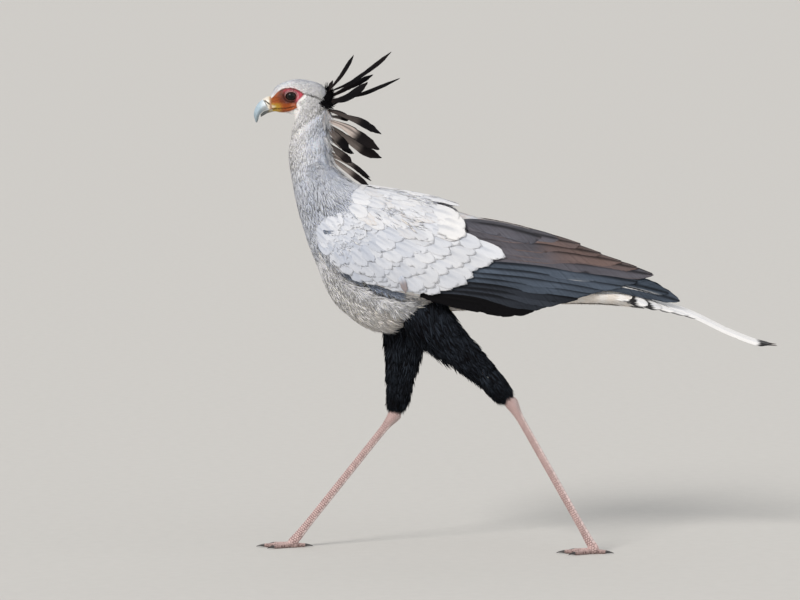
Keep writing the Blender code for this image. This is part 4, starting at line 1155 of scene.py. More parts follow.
class BIRD_OT_skin(bpy.types.Operator):
    """One skin over head, neck, trunk, thighs and the arms of the wings"""
    bl_idname = "bird.skin"
    bl_label = "Skin"

    def execute(self, context):
        stations = np.concatenate([np.linspace(0.02, 3.2, 90), np.linspace(3.24, 8, 50), np.linspace(8.1, 17.98, 80)])
        turns = np.linspace(-math.pi, math.pi, 129)[:-1]
        u, angle = (grid.ravel() for grid in np.meshgrid(stations, turns, indexing="ij"))
        plain = BODY.point(u, angle)
        offset = relief(plain, np.abs(angle)) - skin_depth(u, plain)
        body = plain_piece("skin", BODY.point(u, angle, offset).reshape(len(stations), 128, 3))
        others = bpy.data.collections.new("skin_parts")
        context.scene.collection.children.link(others)
        for name in SIDES:
            share = np.linspace(0, 1, 24)
            turns = np.linspace(0, 2 * math.pi, 33)[:-1]
            t, angle = (grid.ravel() for grid in np.meshgrid(share, turns, indexing="ij"))
            others.objects.link(plain_piece("thigh", LEGS[name].frame(t, angle, -5.0)[0].reshape(24, 32, 3)))
        for side in SIDES.values():
            others.objects.link(plain_piece("arm", wing_arm(side)))
        for piece in others.objects:
            context.scene.collection.objects.unlink(piece)
        applied(body, ("join", "BOOLEAN", {"operation": "UNION", "solver": "MANIFOLD",
                                           "operand_type": "COLLECTION", "collection": others}))
        for piece in list(others.objects):
            bpy.data.objects.remove(piece)
        bpy.data.collections.remove(others)
        points, _ = mesh_points(body)
        recoloured(body, markings(points))
        body.data.materials.clear()
        body.data.materials.append(bare_skin())
        placed(body, "head_feathers_and_face", "head", "neck", "torso", "tail", "thigh_left", "thigh_right",
               "wing_left", "wing_right")
        return {"FINISHED"}


def wing_arm(side):
    """The wing's arm as a curved slab under its feathers."""
    rings = []
    for u in np.linspace(0.1, WING_ARM_END, 26):
        high = math.radians(4 + 56 * max(0, 1 - u / 2.4) ** 1.4)
        low = math.radians(110) - math.radians(10) * max(0, 1 - u) ** 2
        angles = np.linspace(high, low, 14)
        sunk = -3.5 - 6 * min(1, max(0, (u - 1.5) / 1.5))
        thick = 15 - 12 * min(1, u / 5)
        ring_u = np.full(14, u)
        outer = WING.point(ring_u, angles, sunk, side)
        inner = WING.point(ring_u, angles[::-1], sunk - thick, side)
        rings.append(np.concatenate([outer, inner]))
    return np.array(rings)


def under_wing(points):
    """Whether points of the trunk lie hidden under a folded wing."""
    u, angle = WING.place(points)
    return (u > 0.9) & (u < 8.7) & (angle < math.radians(96)) & (angle > 0.3) & (points[:, 0] > -340)


SPACING = ((0, 2, 5, 6.5, 8, 10, 14, 18), (2.1, 2.5, 3.6, 4.6, 5.6, 7.2, 8.2, 8.2))
TUFT_LENGTH = ((0, 1.5, 3, 5, 6.5, 8, 10, 12, 14, 18), (4, 6, 10, 20, 27, 34, 42, 46, 38, 26))
TUFT_WIDTH = ((0, 3, 5, 8, 10, 14, 18), (2.6, 4.2, 6.5, 10.5, 15, 17, 15))
# Soft feathers over the wing's front edge and the mantle: sections and angles on the wing
# from and to, spacing, length, height over the wing.
WING_DOWN = ((0.0, 1.2, 3, 112, 7.5, 27, 4.6), (0.1, 1.9, 0, 55, 8, 36, 6.0))
# Soft feathers under the wing's front: the line of the roots in the side view, how many
# tufts, length, height over the body, how steeply they hang, and the two colours. The last two rows are dark tufts that
# stand for painted shade: the shaded band under the wing's front and the dark slit at the shoulder.
FRINGE_AND_SHADE_TUFTS = (
    (((-378, 574), (-352, 537), (-300, 502), (-236, 480), (-190, 470)), 170, 36, -1.5, 0.75, "white", "grey"),
    (((-376, 584), (-356, 552), (-318, 516), (-262, 491), (-205, 480)), 100, 30, 1, 0.6, "white", "grey"),
    (((-377, 604), (-366, 580), (-334, 549), (-270, 519), (-222, 505)), 130, 21, 4.5, 0.5, "shade", "black"),
    (((-366, 624), (-352, 616), (-336, 603)), 22, 14, 10, 0.35, "shade", "black"),
)


class BIRD_OT_coat(bpy.types.Operator):
    """Small feathers of head, neck and trunk, in tufts that follow the lie of the coat"""
    bl_idname = "bird.coat"
    bl_label = "Body feathers"

    def execute(self, context):
        sizes = context.scene.bird_sizes
        chance = np.random.default_rng(sizes.seed)
        density = math.sqrt(sizes.density)
        u, angle = scattered(BODY, 0.05, BODY.last - 0.1, lambda s: np.interp(s, *SPACING) / density, chance)
        plain = BODY.point(u, angle)
        keep = (bare(plain) < 0.3) & ~under_wing(plain) & ~((u > TRUNK_END + 0.5) & (np.abs(angle) < 1.2))
        keep &= np.hypot((plain[:, 0] - EYE_X) / 1.2, plain[:, 2] - EYE_Z) > 11
        u, angle, plain = u[keep], angle[keep], plain[keep]
        offset = relief(plain, np.abs(angle)) - skin_depth(u, plain) - 0.4
        here, along, out = BODY.frame(u, angle, offset)
        tint = markings(plain) * (1 + chance.normal(0, 0.03, len(u)))[:, None]
        length = np.interp(u, *TUFT_LENGTH) * chance.uniform(0.85, 1.15, len(u))
        width = np.interp(u, *TUFT_WIDTH)
        loose = ease(10, 12, u) * ease(1.3, 2.0, np.abs(angle)) * ease(14.5, 13.5, u)
        lift = np.interp(u, (0, 3, 5, 8, 14), (0.11, 0.075, 0.035, 0.025, 0.03)) + 0.035 * loose
        patch = body_patch(u, np.abs(angle), np.sign(plain[:, 1]))
        for low, high, blades, name in ((0, 5, 3, "head_coat"), (5, 8.5, 3, "neck_coat"), (8.5, 20, 4, "body_coat")):
            heap = Heap()
            part = (u >= low) & (u < high)
            for group in np.array_split(np.flatnonzero(part), max(1, int(part.sum() / 2000) + 1)):
                tufts(heap, (here[group], along[group], out[group]), (length[group], width[group]),
                      (lift[group], 0.15, -0.03), tint[group], patch[group], chance, blades)
            heap.make(name, downy_plumage(), "head_feathers_and_face" if name == "head_coat" else "grey_feathers")
        return {"FINISHED"}


class BIRD_OT_hackles(bpy.types.Operator):
    """Loose streaked hackles on nape and hindneck"""
    bl_idname = "bird.hackles"
    bl_label = "Hackles"

    def execute(self, context):
        chance = np.random.default_rng(context.scene.bird_sizes.seed + 1)
        hues = palette()
        count = 340
        u = chance.uniform(3.9, 7.4, count)
        angle = chance.normal(0, 0.5, count)
        here, along, out = BODY.frame(u, angle, -3.0)
        clear = np.hypot(here[:, 0] + 369, here[:, 2] - 872) > 13
        u, angle, here, along, out = u[clear], angle[clear], here[clear], along[clear], out[clear]
        count = len(u)
        way = unit(along + out * (chance.uniform(0.08, 0.6, count) * ease(1.0, 0.2, np.abs(angle)))[:, None])
        tint = mixed(hues["white"], hues["shade"], chance.uniform(0, 0.75, count))
        dark = chance.random(count) < np.where(u < 5.6, 0.3, 0.1)
        tint[dark] = mixed(hues["black"], hues["shade"], chance.uniform(0.1, 0.6, dark.sum()))
        warm = chance.random(count) < 0.12
        tint[warm] = mixed(hues["tan"], hues["brown"], chance.uniform(0, 0.4, warm.sum()))
        patch = body_patch(u, np.abs(angle), np.sign(here[:, 1]))
        heap = Heap()
        tufts(heap, (here, way, out), (chance.uniform(14, 34, count), chance.uniform(2.5, 5, count)),
              (0.08, 0.2, -0.1), tint, patch, chance, 5, 4)
        heap.make("hackles", downy_plumage(), "grey_feathers")
        return {"FINISHED"}


class BIRD_OT_soft_feathers(bpy.types.Operator):
    """Soft feathers over the front of each wing and the mantle, the fringe below the wing, and dark tufts as painted
    shade under the wing's front and at the shoulder
    """
    bl_idname = "bird.soft_feathers"
    bl_label = "Mantle and flank fringe"

    def execute(self, context):
        chance = np.random.default_rng(context.scene.bird_sizes.seed + 7)
        for number, (name, side) in enumerate(SIDES.items()):
            heap = Heap()
            for rows in WING_DOWN:
                self.over_wing(heap, rows, side, number, chance)
            self.collar(heap, side, chance)
            self.fringe(heap, side, chance)
            heap.make("soft_feathers_" + name, downy_plumage(), "grey_feathers")
        return {"FINISHED"}

    def over_wing(self, heap, rows, side, number, chance):
        hues = palette()
        start, end, high, low, gap, reach, height = rows
        u, angle = scattered(WING, start, end, lambda s: gap, chance)
        keep = (angle > math.radians(high)) & (angle < math.radians(low))
        u, angle = u[keep], angle[keep]
        rise = height * ease(-0.4, 0.8, u) - 1.5
        here, along, out = WING.frame(u, angle, rise, side)
        tint = mixed(hues["grey"], hues["white"], chance.uniform(0.1, 0.75, len(u)))
        warm = chance.random(len(u)) < 0.1
        tint[warm] = mixed(tint[warm], hues["buff"], chance.uniform(0.15, 0.4, warm.sum()))
        tint = mixed(markings(here), tint, ease(0.3, 2.0, u))
        length = reach * chance.uniform(0.8, 1.2, len(u))
        patch = chart(1 + number, u / 3.2, angle / 2)
        tufts(heap, (here, along, out), (length, length * 0.42), (0.04, 0.3, -0.08), tint, patch, chance, 5)

    def collar(self, heap, side, chance):
        count = 330
        u = chance.uniform(6.6, 8.5, count)
        angle = chance.uniform(0.05, 1.75, count)
        plain = BODY.point(u, angle, 0.0, side)
        here, along, out = BODY.frame(u, angle, -2.5, side)
        tint = markings(plain)
        length = chance.uniform(30, 46, count) * ease(6.0, 8.0, u)
        patch = body_patch(u, angle, side)
        tufts(heap, (here, along, out), (length, length * 0.3), (0.3, 0.28, -0.2), tint, patch, chance, 5)

    def fringe(self, heap, side, chance):
        hues = palette()
        for line, count, reach, height, fall, light, dark in FRINGE_AND_SHADE_TUFTS:
            root = path(line, np.sort(chance.uniform(0, 1, count))) + chance.uniform(-3.5, 3.5, (count, 2))
            u, angle = BODY.seen(root[:, 0], root[:, 1])
            here, along, out = BODY.frame(u, angle, height, side)
            drop = np.stack([np.full(count, 0.8), np.zeros(count), -fall * chance.uniform(0.6, 1.3, count)], -1)
            way = unit(drop - out * (drop * out).sum(-1, keepdims=True))
            # The rows in shade and black are dark tufts as painted shade under the wing's front and at the shoulder.
            tint = mixed(hues[light], hues[dark], chance.uniform(0, 0.55, count))
            length = reach * chance.uniform(0.7, 1.2, count)
            patch = body_patch(u, angle, side)
            tufts(heap, (here, way, out), (length, length * 0.3), (0.1, 0.4, -0.1), tint, patch, chance, 6)


class BIRD_OT_crest(bpy.types.Operator):
    """Long black crest feathers, each from a thin stem to a broad end"""
    bl_idname = "bird.crest"
    bl_label = "Crest"

    def execute(self, context):
        chance = np.random.default_rng(context.scene.bird_sizes.seed + 2)
        heap = Heap()
        for number, (line, spread, width, roll, grey) in enumerate(CREST):
            reach = unit(np.subtract(line[1], line[0]))
            root = np.array(line[0]) - reach * 12
            points = [(root[0], spread * 0.25, root[1])]
            for k, (x, z) in enumerate(line):
                points.append((x, spread * (0.35 + 0.65 * k / (len(line) - 1)), z))
            lean = math.radians(roll)
            across = np.array((-reach[1] * math.sin(lean), math.cos(lean), reach[0] * math.sin(lean)))
            open_feather(heap, points, width, across, "crest", chance, (number, len(CREST)), SPOON,
                         30, 5, 0.07, grey)
        heap.make("crest", keratin_vane("crest_vane", 0.65, 0.0, 0.06), "black_feathers")
        self.nape(chance)
        return {"FINISHED"}

    def nape(self, chance):
        """Black tufts at the back of the head, from which the crest rises."""
        heap, count = Heap(), 64
        for side in SIDES.values():
            share = chance.uniform(0, 1, count)[:, None]
            root = np.array((-374, 862)) * (1 - share) + np.array((-362, 881)) * share
            root = root + chance.normal(0, 1.8, (count, 2))
            u, angle = BODY.seen(root[:, 0], root[:, 1])
            here, _, out = BODY.frame(u, angle, -1.2, side)
            way = np.stack([np.ones(count), np.zeros(count), 0.9 * share[:, 0] - 0.1 + chance.normal(0, 0.12, count)], -1)
            way = unit(way - out * (way * out).sum(-1, keepdims=True))
            tint = np.tile(palette()["black"], (count, 1))
            length = chance.uniform(14, 34, count)
            tufts(heap, (here, way, out), (length, length * 0.22), (0.08, 0.14, -0.05), tint,
                  body_patch(u, angle, side), chance, 4)
        heap.make("nape_tufts", downy_plumage("black_down", 0.0, 0.06, 0.0), "black_feathers")


class BIRD_OT_wings(bpy.types.Operator):
    """Flight feathers, tiers of coverts, small coverts and scapulars of both wings"""
    bl_idname = "bird.wings"
    bl_label = "Wings"

    def execute(self, context):
        chance = np.random.default_rng(context.scene.bird_sizes.seed + 3)
        for name, side in SIDES.items():
            self.flight(name, side, chance)
            self.coverts(name, side, chance)
        return {"FINISHED"}

    def flight(self, name, side, chance):
        heap = Heap()
        total = len(FLIGHT_FEATHERS)
        for k, (root, tip, width, kind) in enumerate(FLIGHT_FEATHERS):
            share = k / (total - 1)
            laid_feather(heap, WING, root, tip, width, (-8 + 3.5 * share, -4.2 + 4 * share), kind, chance,
                         (k, total), QUILL, 0.02, 1.5, 30, side, 6, 0.09)
        heap.make("flight_feathers_" + name, keratin_vane("flight_vane", 0.55, 0.0, 0.07, 0.35), "wing_feathers")

    def coverts(self, name, side, chance):
        heap = Heap()
        rows = []
        for roots, tips, count, width, height, kind in COVERT_TIERS:
            share = np.linspace(0, 1, count)
            for root, tip in zip(path(roots, share), path(tips, share)):
                tip = tip + chance.uniform(-9, 7, 2) * (1, 0.7)
                rows.append((root, tip, width * chance.uniform(0.88, 1.14), height + chance.uniform(-0.3, 0.4), kind))
        for row in range(SMALL_ROWS):
            share = np.linspace(0, 1, 14) + chance.uniform(-0.03, 0.03, 14) + 0.035 * (row % 2)
            line = (np.array(SMALL_COVERTS[0]) * row + np.array(SMALL_COVERTS[1]) * (SMALL_ROWS - 1 - row))
            for t, root in zip(share, path(line / (SMALL_ROWS - 1), np.clip(share, 0, 1))):
                reach = chance.uniform(30, 42)
                lean = math.radians(-22 - 18 * t + chance.uniform(-10, 10))
                root = root + chance.uniform(-4, 4, 2)
                tip = root + reach * np.array((math.cos(lean), math.sin(lean)))
                rows.append((root, tip, 18 * chance.uniform(0.85, 1.2), 4.2 + 0.12 * row, "small"))
        for row in range(5):
            share = row / 4
            line = np.array(SCAPULARS[1]) * (1 - share) + np.array(SCAPULARS[0]) * share
            for t in np.linspace(0.98, 0.1, 8) + chance.uniform(-0.04, 0.04, 8):
                root = path(line, np.clip(t, 0, 1))[0] - np.array((62, -15)) + chance.uniform(-5, 5, 2)
                reach = chance.uniform(60, 82) + 18 * t
                lean = math.radians(-15 + chance.uniform(-6, 6) - 8 * (1 - share))
                tip = root + reach * np.array((math.cos(lean), math.sin(lean)))
                rows.append((root, tip, 24 * chance.uniform(0.85, 1.15), 5.0 + 0.15 * row + 0.4 * (1 - t), "scapular"))
        for root, tip in LONG_SCAPULARS:
            rows.append((root, tip, 40, 6.4, "long"))
        rows.append(((-228, 550), (-211, 508), 12, 5.6, "rusty"))
        for k, (root, tip, width, height, kind) in enumerate(rows):
            # Painted shade toward the lower front of the wing, given as each covert's share of blue-grey.
            shaded = ease(-90, -330, tip[0]) * ease(640, 570, tip[1]) * chance.uniform(0.05, 0.45)
            laid_feather(heap, WING, root, tip, width, (height - 4.5, height), kind, chance, (k, len(rows)), ROUND,
                         0.03, 0.12, 11, side, 2, 0.03, {"scapular": 0, "long": 0, "small": 3}.get(kind, 4),
                         shaded)
        heap.make("coverts_" + name, keratin_vane("covert_vane", 0.75, 0.3), "wing_feathers")


class BIRD_OT_tail(bpy.types.Operator):
    """Tail feathers, with the two long ones in the middle"""
    bl_idname = "bird.tail"
    bl_label = "Tail"

    def execute(self, context):
        chance = np.random.default_rng(context.scene.bird_sizes.seed + 4)
        heap = Heap()
        total = 2 * len(TAIL_FEATHERS)
        for k, (tip, width, slope) in enumerate(TAIL_FEATHERS):
            for side in SIDES.values():
                lean = math.radians(slope)
                across = np.array((0, math.cos(lean), -side * math.sin(lean)))
                drop = TAIL_DROP * (k + (0.5 if side == LEFT else 0))
                cell = (2 * k + (side > 0), total)
                if k == 0:
                    lean = math.radians(STREAMER_ROLL)
                    across = np.array((0, math.cos(lean), math.sin(lean)))
                    points = [(x, side * y, z - drop) for x, y, z in STREAMER_BEND + (tip,)]
                    open_feather(heap, points, 26, across, "streamer", chance, cell, STRAP, 44, 3, 0.08)
                    continue
                root = (120 + 4 * k, side * (4 + 3.4 * k), 530 - drop - 1.5 * k)
                middle = [(a + b) / 2 for a, b in zip(root, (tip[0], side * tip[1], tip[2]))]
                points = (root, (middle[0], middle[1], middle[2] + 2), (tip[0], side * tip[1], tip[2] - drop / 2))
                band = (tip[0] - (38 if k > 3 else 62) - root[0]) / (tip[0] - root[0])
                open_feather(heap, points, width, across, "tail", chance, cell, QUILL, 26, 5, 0.06, band)
        heap.make("tail_feathers", keratin_vane("tail_vane", 0.6, 0.15), "tail_feathers")
        heap = Heap()
        rows = [(x, rise, side) for rise in (0, 12) for x in np.arange(64, 200, 17) for side in SIDES.values()]
        for k, (x, rise, side) in enumerate(rows):
            x = x + 8 * (rise > 0) + chance.uniform(-3, 3)
            low = 482 - 0.04 * (x - 60) + rise
            laid_feather(heap, BODY, (x, low), (x + 62, low - 6), 26, (-3, 1.2 + 0.01 * (230 - x)), "vent", chance,
                         (k, len(rows)), ROUND, 0.02, 0.4, 12, side, 2, 0.04, 6, (rise == 0) * (2.0 if x > 170 else 1.0))
        heap.make("undertail_coverts", keratin_vane("covert_vane", 0.75, 0.3), "tail_feathers")
        return {"FINISHED"}


class BIRD_OT_trousers(bpy.types.Operator):
    """Loose black feathers of the thighs, down to the hocks"""
    bl_idname = "bird.trousers"
    bl_label = "Trousers"

    def execute(self, context):
        chance = np.random.default_rng(context.scene.bird_sizes.seed + 5)
        hues = palette()
        for number, (name, limb) in enumerate(LEGS.items()):
            count = 1250
            t = chance.uniform(0.1, 0.97, count)
            angle = chance.uniform(-math.pi, math.pi, count)
            here, along, out = limb.frame(t, angle, -4.5)
            drop = unit(along + np.array((0.0, 0.0, -0.25)))
            tint = mixed(hues["black"], hues["slate"], chance.uniform(0, 0.28, count))
            patch = chart(3 + number, t, 0.5 + 0.5 * angle / math.pi)
            length = np.interp(t, (0, 0.5, 0.85, 1), (40, 34, 22, 12)) * chance.uniform(0.7, 1.3, count)
            heap = Heap()
            tufts(heap, (here, drop, out), (length, length * 0.34), (0.26, 0.3, -0.22), tint, patch, chance, 5)
            heap.make("trousers_" + name, downy_plumage("black_down", 0.0, 0.06, 0.0), "black_feathers")
        return {"FINISHED"}


def lid_profile(turn, side):
    """Points round the lid's section at one turn: over the rim, down to the skin and back."""
    x, z = math.cos(turn), math.sin(turn)
    spots = []
    for long, tall, reach in LID_RIM:
        away = math.sqrt(reach ** 2 - (long * x) ** 2 - (tall * z) ** 2)
        spots.append((EYE_X + long * x, side * (EYE_Y + away), EYE_Z + tall * z))
    for long, tall, sunk in LID_ROOTS:
        u, angle = BODY.seen(EYE_X + long * x, EYE_Z + tall * z)
        here = BODY.point(u, angle)
        offset = relief(here, angle) + sunk
        spots.append(tuple(BODY.point(u, angle, offset, side)[0]))
    return np.array(spots)


class BIRD_OT_eyes(bpy.types.Operator):
    """Eyeballs, their folded lids and the lashes"""
    bl_idname = "bird.eyes"
    bl_label = "Eyes and lids"

    def execute(self, context):
        chance = np.random.default_rng(context.scene.bird_sizes.seed + 6)
        for name, side in SIDES.items():
            self.ball(name, side)
            self.lids(name, side)
            self.lashes(name, side, chance)
        return {"FINISHED"}

    def ball(self, name, side):
        hues = palette()
        polar, turn = np.meshgrid(np.linspace(0.02, math.pi - 0.02, 60), np.linspace(0, 2 * math.pi, 73)[:-1],
                                  indexing="ij")
        away = np.sin(polar)
        bulge = 1 + 0.03 * ease(0.75, 0.2, polar)
        spots = np.stack([EYE_X + EYE_RADIUS * away * np.cos(turn),
                          side * (EYE_Y + EYE_RADIUS * bulge * np.cos(polar)),
                          EYE_Z + EYE_RADIUS * away * np.sin(turn)], -1)
        points, faces = closed_grid(spots)
        reach = np.hypot(points[:, 0] - EYE_X, points[:, 2] - EYE_Z)
        spokes = np.sin(np.arctan2(points[:, 2] - EYE_Z, points[:, 0] - EYE_X) * 40)
        tint = mixed(hues["iris"] * 0.6, hues["iris"] * 1.6, ease(5, 7, reach) * (0.4 + 0.15 * spokes))
        tint = mixed(tint, hues["black"] * 0.25, np.maximum(ease(6, 5.6, reach), ease(7.6, 8.4, reach)))
        piece = mesh_piece("eye_ball_" + name, points, faces, tint, material=wet_eye())
        placed(piece, "eye", "eye_" + name)

    def lids(self, name, side):
        hues = palette()
        rings = []
        for turn in np.linspace(0, 2 * math.pi, 121)[:-1]:
            profile = lid_profile(turn, side)
            loop = np.concatenate([profile, profile[:3]])
            ring = spline(loop, np.linspace(1, len(profile) + 1, 25)[:-1])
            rings.append(ring + np.array((0.0, side * 0.16 * math.sin(turn * 23), 0.0)))
        spots = np.array(rings)
        rows, columns, _ = spots.shape
        grid = np.arange(rows * columns).reshape(rows, columns)
        a, b = grid, np.roll(grid, -1, 0)
        c, d = np.roll(b, -1, 1), np.roll(grid, -1, 1)
        faces = np.concatenate([np.stack([a, b, c], -1).reshape(-1, 3), np.stack([a, c, d], -1).reshape(-1, 3)])
        points = spots.reshape(-1, 3)
        reach = np.hypot((points[:, 0] - EYE_X) / 1.28, points[:, 2] - EYE_Z)
        over = ease(-2, 5, points[:, 2] - EYE_Z)
        # Painted shade: the lower lid darkened in maroon; painted highlight: the upper lid lightened to pale pink.
        tint = mixed(face_colours(points, hues), hues["maroon"] * 0.5, 0.6 * (1 - over))
        tint = mixed(tint, hues["red"] * 0.5 + hues["white"] * 0.4, 0.6 * over * ease(10.5, 9, reach))
        tint = mixed(tint, hues["black"], 0.9 * ease(8.5, 8.0, reach))
        piece = mesh_piece("lids_" + name, points, turned_outward(points, faces), tint, material=bare_skin())
        placed(piece, "head_feathers_and_face")

    def lashes(self, name, side, chance):
        hues = palette()
        turn = np.linspace(0.12, 0.96, 22) * math.pi + chance.uniform(-0.04, 0.04, 22)
        root, way = [], []
        for value in turn:
            x, z = math.cos(value), math.sin(value)
            away = math.sqrt(14.4 ** 2 - (10.9 * x) ** 2 - (8.7 * z) ** 2)
            root.append((EYE_X + 10.9 * x, side * (EYE_Y + away - 0.8), EYE_Z + 8.7 * z))
            way.append((0.5 * x - 0.15, side * 0.75, 0.32 + 0.4 * z))
        root, way = np.array(root), unit(np.array(way))
        heap = Heap()
        count = len(root)
        locks(heap, root, way, np.tile((0.0, 0.0, 1.0), (count, 1)), chance.uniform(4.5, 7.5, count),
              np.full(count, 0.55), 0.35, np.tile(hues["black"], (count, 1)), chart(0, np.full(count, 0.1), turn / 4), 4)
        heap.make("lashes_" + name, downy_plumage("black_down", 0.0, 0.06, 0.0), "black_feathers")


def bill_piece(name, form, angle, rows, node_name):
    """One half of the bill. The upper one has the cere, the nostril and the dark hook."""
    hues = palette()
    upper = name == "upper_bill"
    u = np.linspace(0, form.last, rows)
    turns = np.linspace(-angle, angle, 97)
    s, turn = (grid.ravel() for grid in np.meshgrid(u, turns, indexing="ij"))
    plain = form.point(s, turn)
    away = np.abs(turn) / angle
    slot = line_distance(plain, NOSTRIL)
    lines = 0.07 * np.sin(s * 17 + np.cos(turn) * 2.2) * ease(1.6, 2.4, s)
    cere_end = 2.05 - 1.5 * away ** 1.3
    cere = ease(cere_end + 0.12, cere_end - 0.05, s) * upper
    swollen = (0.7 + 0.2 * ripples(plain, 5, 21)) * cere
    hole = ease(1.5, 0.4, slot) * upper * ease(0.3, 0.6, np.abs(turn))
    edge = 0.35 * ease(0.78, 0.9, away) * ease(0.2, 0.8, s)
    fade = np.minimum(1, (form.last - s) * 1.4)
    sunk = 1.6 * ease(0.2, 0, s)
    spots = form.point(s, turn, (lines + swollen + edge) * fade - 2.6 * hole - sunk)
    spots[:, 0] += 4.5 * ease(0.2, 0, s)
    points, faces = closed_grid(spots.reshape(rows, len(turns), 3))
    plain = np.concatenate([plain, plain[[0, -1]]])
    s, away = np.concatenate([s, [0, form.last]]), np.concatenate([away, [0, 0]])
    share = s / form.last
    tint = mixed(hues["horn"], hues["white"], 0.4 * ease(0.5, 0.25, share))
    tint = mixed(tint, hues["horn_tip"], ease(0.55, 1, share) * 0.45)
    low = ease(0.62, 0.85, away) if upper else np.ones(len(s))
    tint = mixed(tint, hues["horn_tip"], (0.6 if upper else 0.9) * low * ease(0.02, 0.25, share))
    cere = np.concatenate([cere, [upper, 0]])
    base = mixed(hues["white"] * 0.9, hues["yellow"], 0.22 + 0.3 * ease(1.0, 0.2, s))
    base = mixed(base, hues["orange"], 0.75 * ease(0.55, 0.1, s) * ease(0.1, 0.3, away))
    rim = ease(0.13, 0.03, np.abs(s - (2.05 - 1.5 * away ** 1.3))) * upper
    rim = rim * ease(0.2, 0.35, away) * ease(0.9, 0.75, away)
    tint = mixed(mixed(tint, base, cere), hues["horn_tip"], 0.85 * rim)
    if not upper:
        tint = mixed(tint, hues["yellow"] * 0.6, 0.7 * ease(0.35, 0.05, share))
    tint = mixed(tint, hues["black"] * 0.3, np.concatenate([hole, [0, 0]]))
    tint = tint * (1 + 0.05 * ripples(plain * (1, 1, 0.4), 2.4, 22))[:, None]
    piece = mesh_piece(name, points, faces, tint, material=keratin_horn("bill_keratin", 0.38, 0.1))
    placed(piece, "bill_horn", node_name)


class BIRD_OT_bill(bpy.types.Operator):
    """Hooked upper bill with cere and nostrils, and the lower bill"""
    bl_idname = "bird.bill"
    bl_label = "Bill"

    def execute(self, context):
        bill_piece("upper_bill", Form(UPPER_BILL, BILL_ANGLE), BILL_ANGLE, 130, "bill_upper")
        bill_piece("lower_bill", Form(LOWER_BILL, math.pi / 2), math.pi / 2, 60, "bill_lower")
        return {"FINISHED"}


def leg_lines(name):
    """Points of a leg: end of the feathers, hock, ankle, middle of the foot and toe lines."""
    side = SIDES[name]
    x, y, z = SHANKS[name][-1][:3]
    end = np.array((x, side * y, z), float)
    hock = np.array((HOCKS[name][0], side * LEG_Y, HOCKS[name][1]), float)
    ankle = np.array((ANKLES[name][0], side * LEG_Y, ANKLES[name][1]), float)
    run = unit(ankle - hock)
    middle = ankle + run * ((ankle[2] - FOOT_HEIGHT) / -run[2])
    middle[2] = 0
    toes = []
    for length, angle, radius in TOES:
        turn = math.radians(angle) * side
        toes.append((np.array((-math.cos(turn), math.sin(turn), 0.0)), length, radius))
    return end, hock, ankle, run, middle, toes


def ring_round(centre, run, along_radius, cross_radius, sides=40):
    face = np.array((run[2], 0, -run[0]))
    turn = np.linspace(0, 2 * math.pi, sides + 1)[:-1]
    return (centre + face * (along_radius * np.cos(turn))[:, None]
            + np.array((0.0, 1.0, 0.0)) * (cross_radius * np.sin(turn))[:, None])


def toe_spots(middle, along, length, radius, sides=28):
    """Rings of one toe, with joint pads, flat underneath."""
    aside = np.cross(along, (0, 0, 1))
    turn = np.linspace(0, 2 * math.pi, sides + 1)[:-1]
    rings = []
    for t in np.linspace(0, 1, 40):
        thick = radius + (TOE_TIP_RADIUS - radius) * t
        thick *= 1 + 0.09 * math.cos(6 * math.pi * t) * (1 - 0.6 * t)
        thick *= math.sqrt(max(0.02, 1 - max(0, (t - 0.94) / 0.075) ** 2))
        low = (radius + (TOE_TIP_RADIUS - radius) * t) * 0.85
        centre = middle + along * (length * t + 0.0) + np.array((0, 0, low + (TOE_TIP_HEIGHT - low) * t ** 4))
        ring = (centre + aside * (thick * np.cos(turn))[:, None]
                + np.array((0.0, 0.0, 1.0)) * (thick * np.sin(turn))[:, None])
        ring[:, 2] = np.maximum(ring[:, 2], 0)
        rings.append(ring)
    return np.array(rings)


def pillow(first, second, sharp=4):
    """Height of one scale from its two places in the pattern; 0 in the furrow, 1 on top."""
    a, b = np.mod(first, 1) * 2 - 1, np.mod(second, 1) * 2 - 1
    return (1 - np.abs(a) ** sharp) * (1 - np.abs(b) ** sharp)


def leg_scale_heights(points, name):
    """How high each point of a leg stands in its scale, and how far to the front it is."""
    end, hock, ankle, run, middle, toes = leg_lines(name)
    away = points - hock
    s = away @ run
    rest = away - s[:, None] * run
    face = np.array((run[2], 0, -run[0]))
    turn = np.arctan2(rest[:, 1], rest @ face)
    front = np.abs(turn) > 2.05
    plates = pillow(s / 8.5, (np.abs(turn) - 2.05) / 1.2, 8)
    row = np.floor(s / 4.4)
    small = pillow(s / 4.4, turn / 0.62 + 0.5 * np.mod(row, 2), 3)
    height = np.where(front, plates, small)
    knob = s < 22
    height = np.where(knob, pillow(s / 3.6, turn / 0.5 + 0.5 * np.mod(np.floor(s / 3.6), 2), 3), height)
    for along, length, radius in toes:
        flat = points - middle
        t = flat @ along
        aside = np.cross(along, (0, 0, 1))
        off = flat @ aside
        toe = (t > 7) & (np.abs(off) < radius + 2.5) & (points[:, 2] < 15) & (t < length + 6)
        angle = np.arctan2(off, points[:, 2] - radius * 0.85)
        top = np.abs(angle) < 1.15
        row = np.floor(t / 3)
        pads = pillow(t / 3, off / 3 + 0.5 * np.mod(row, 2), 3)
        height = np.where(toe, np.where(top, pillow(t / 4.2, 0 * t + 0.5, 6), pads), height)
    return height, np.where(front & (points[:, 2] > 22), 1.0, 0.0)


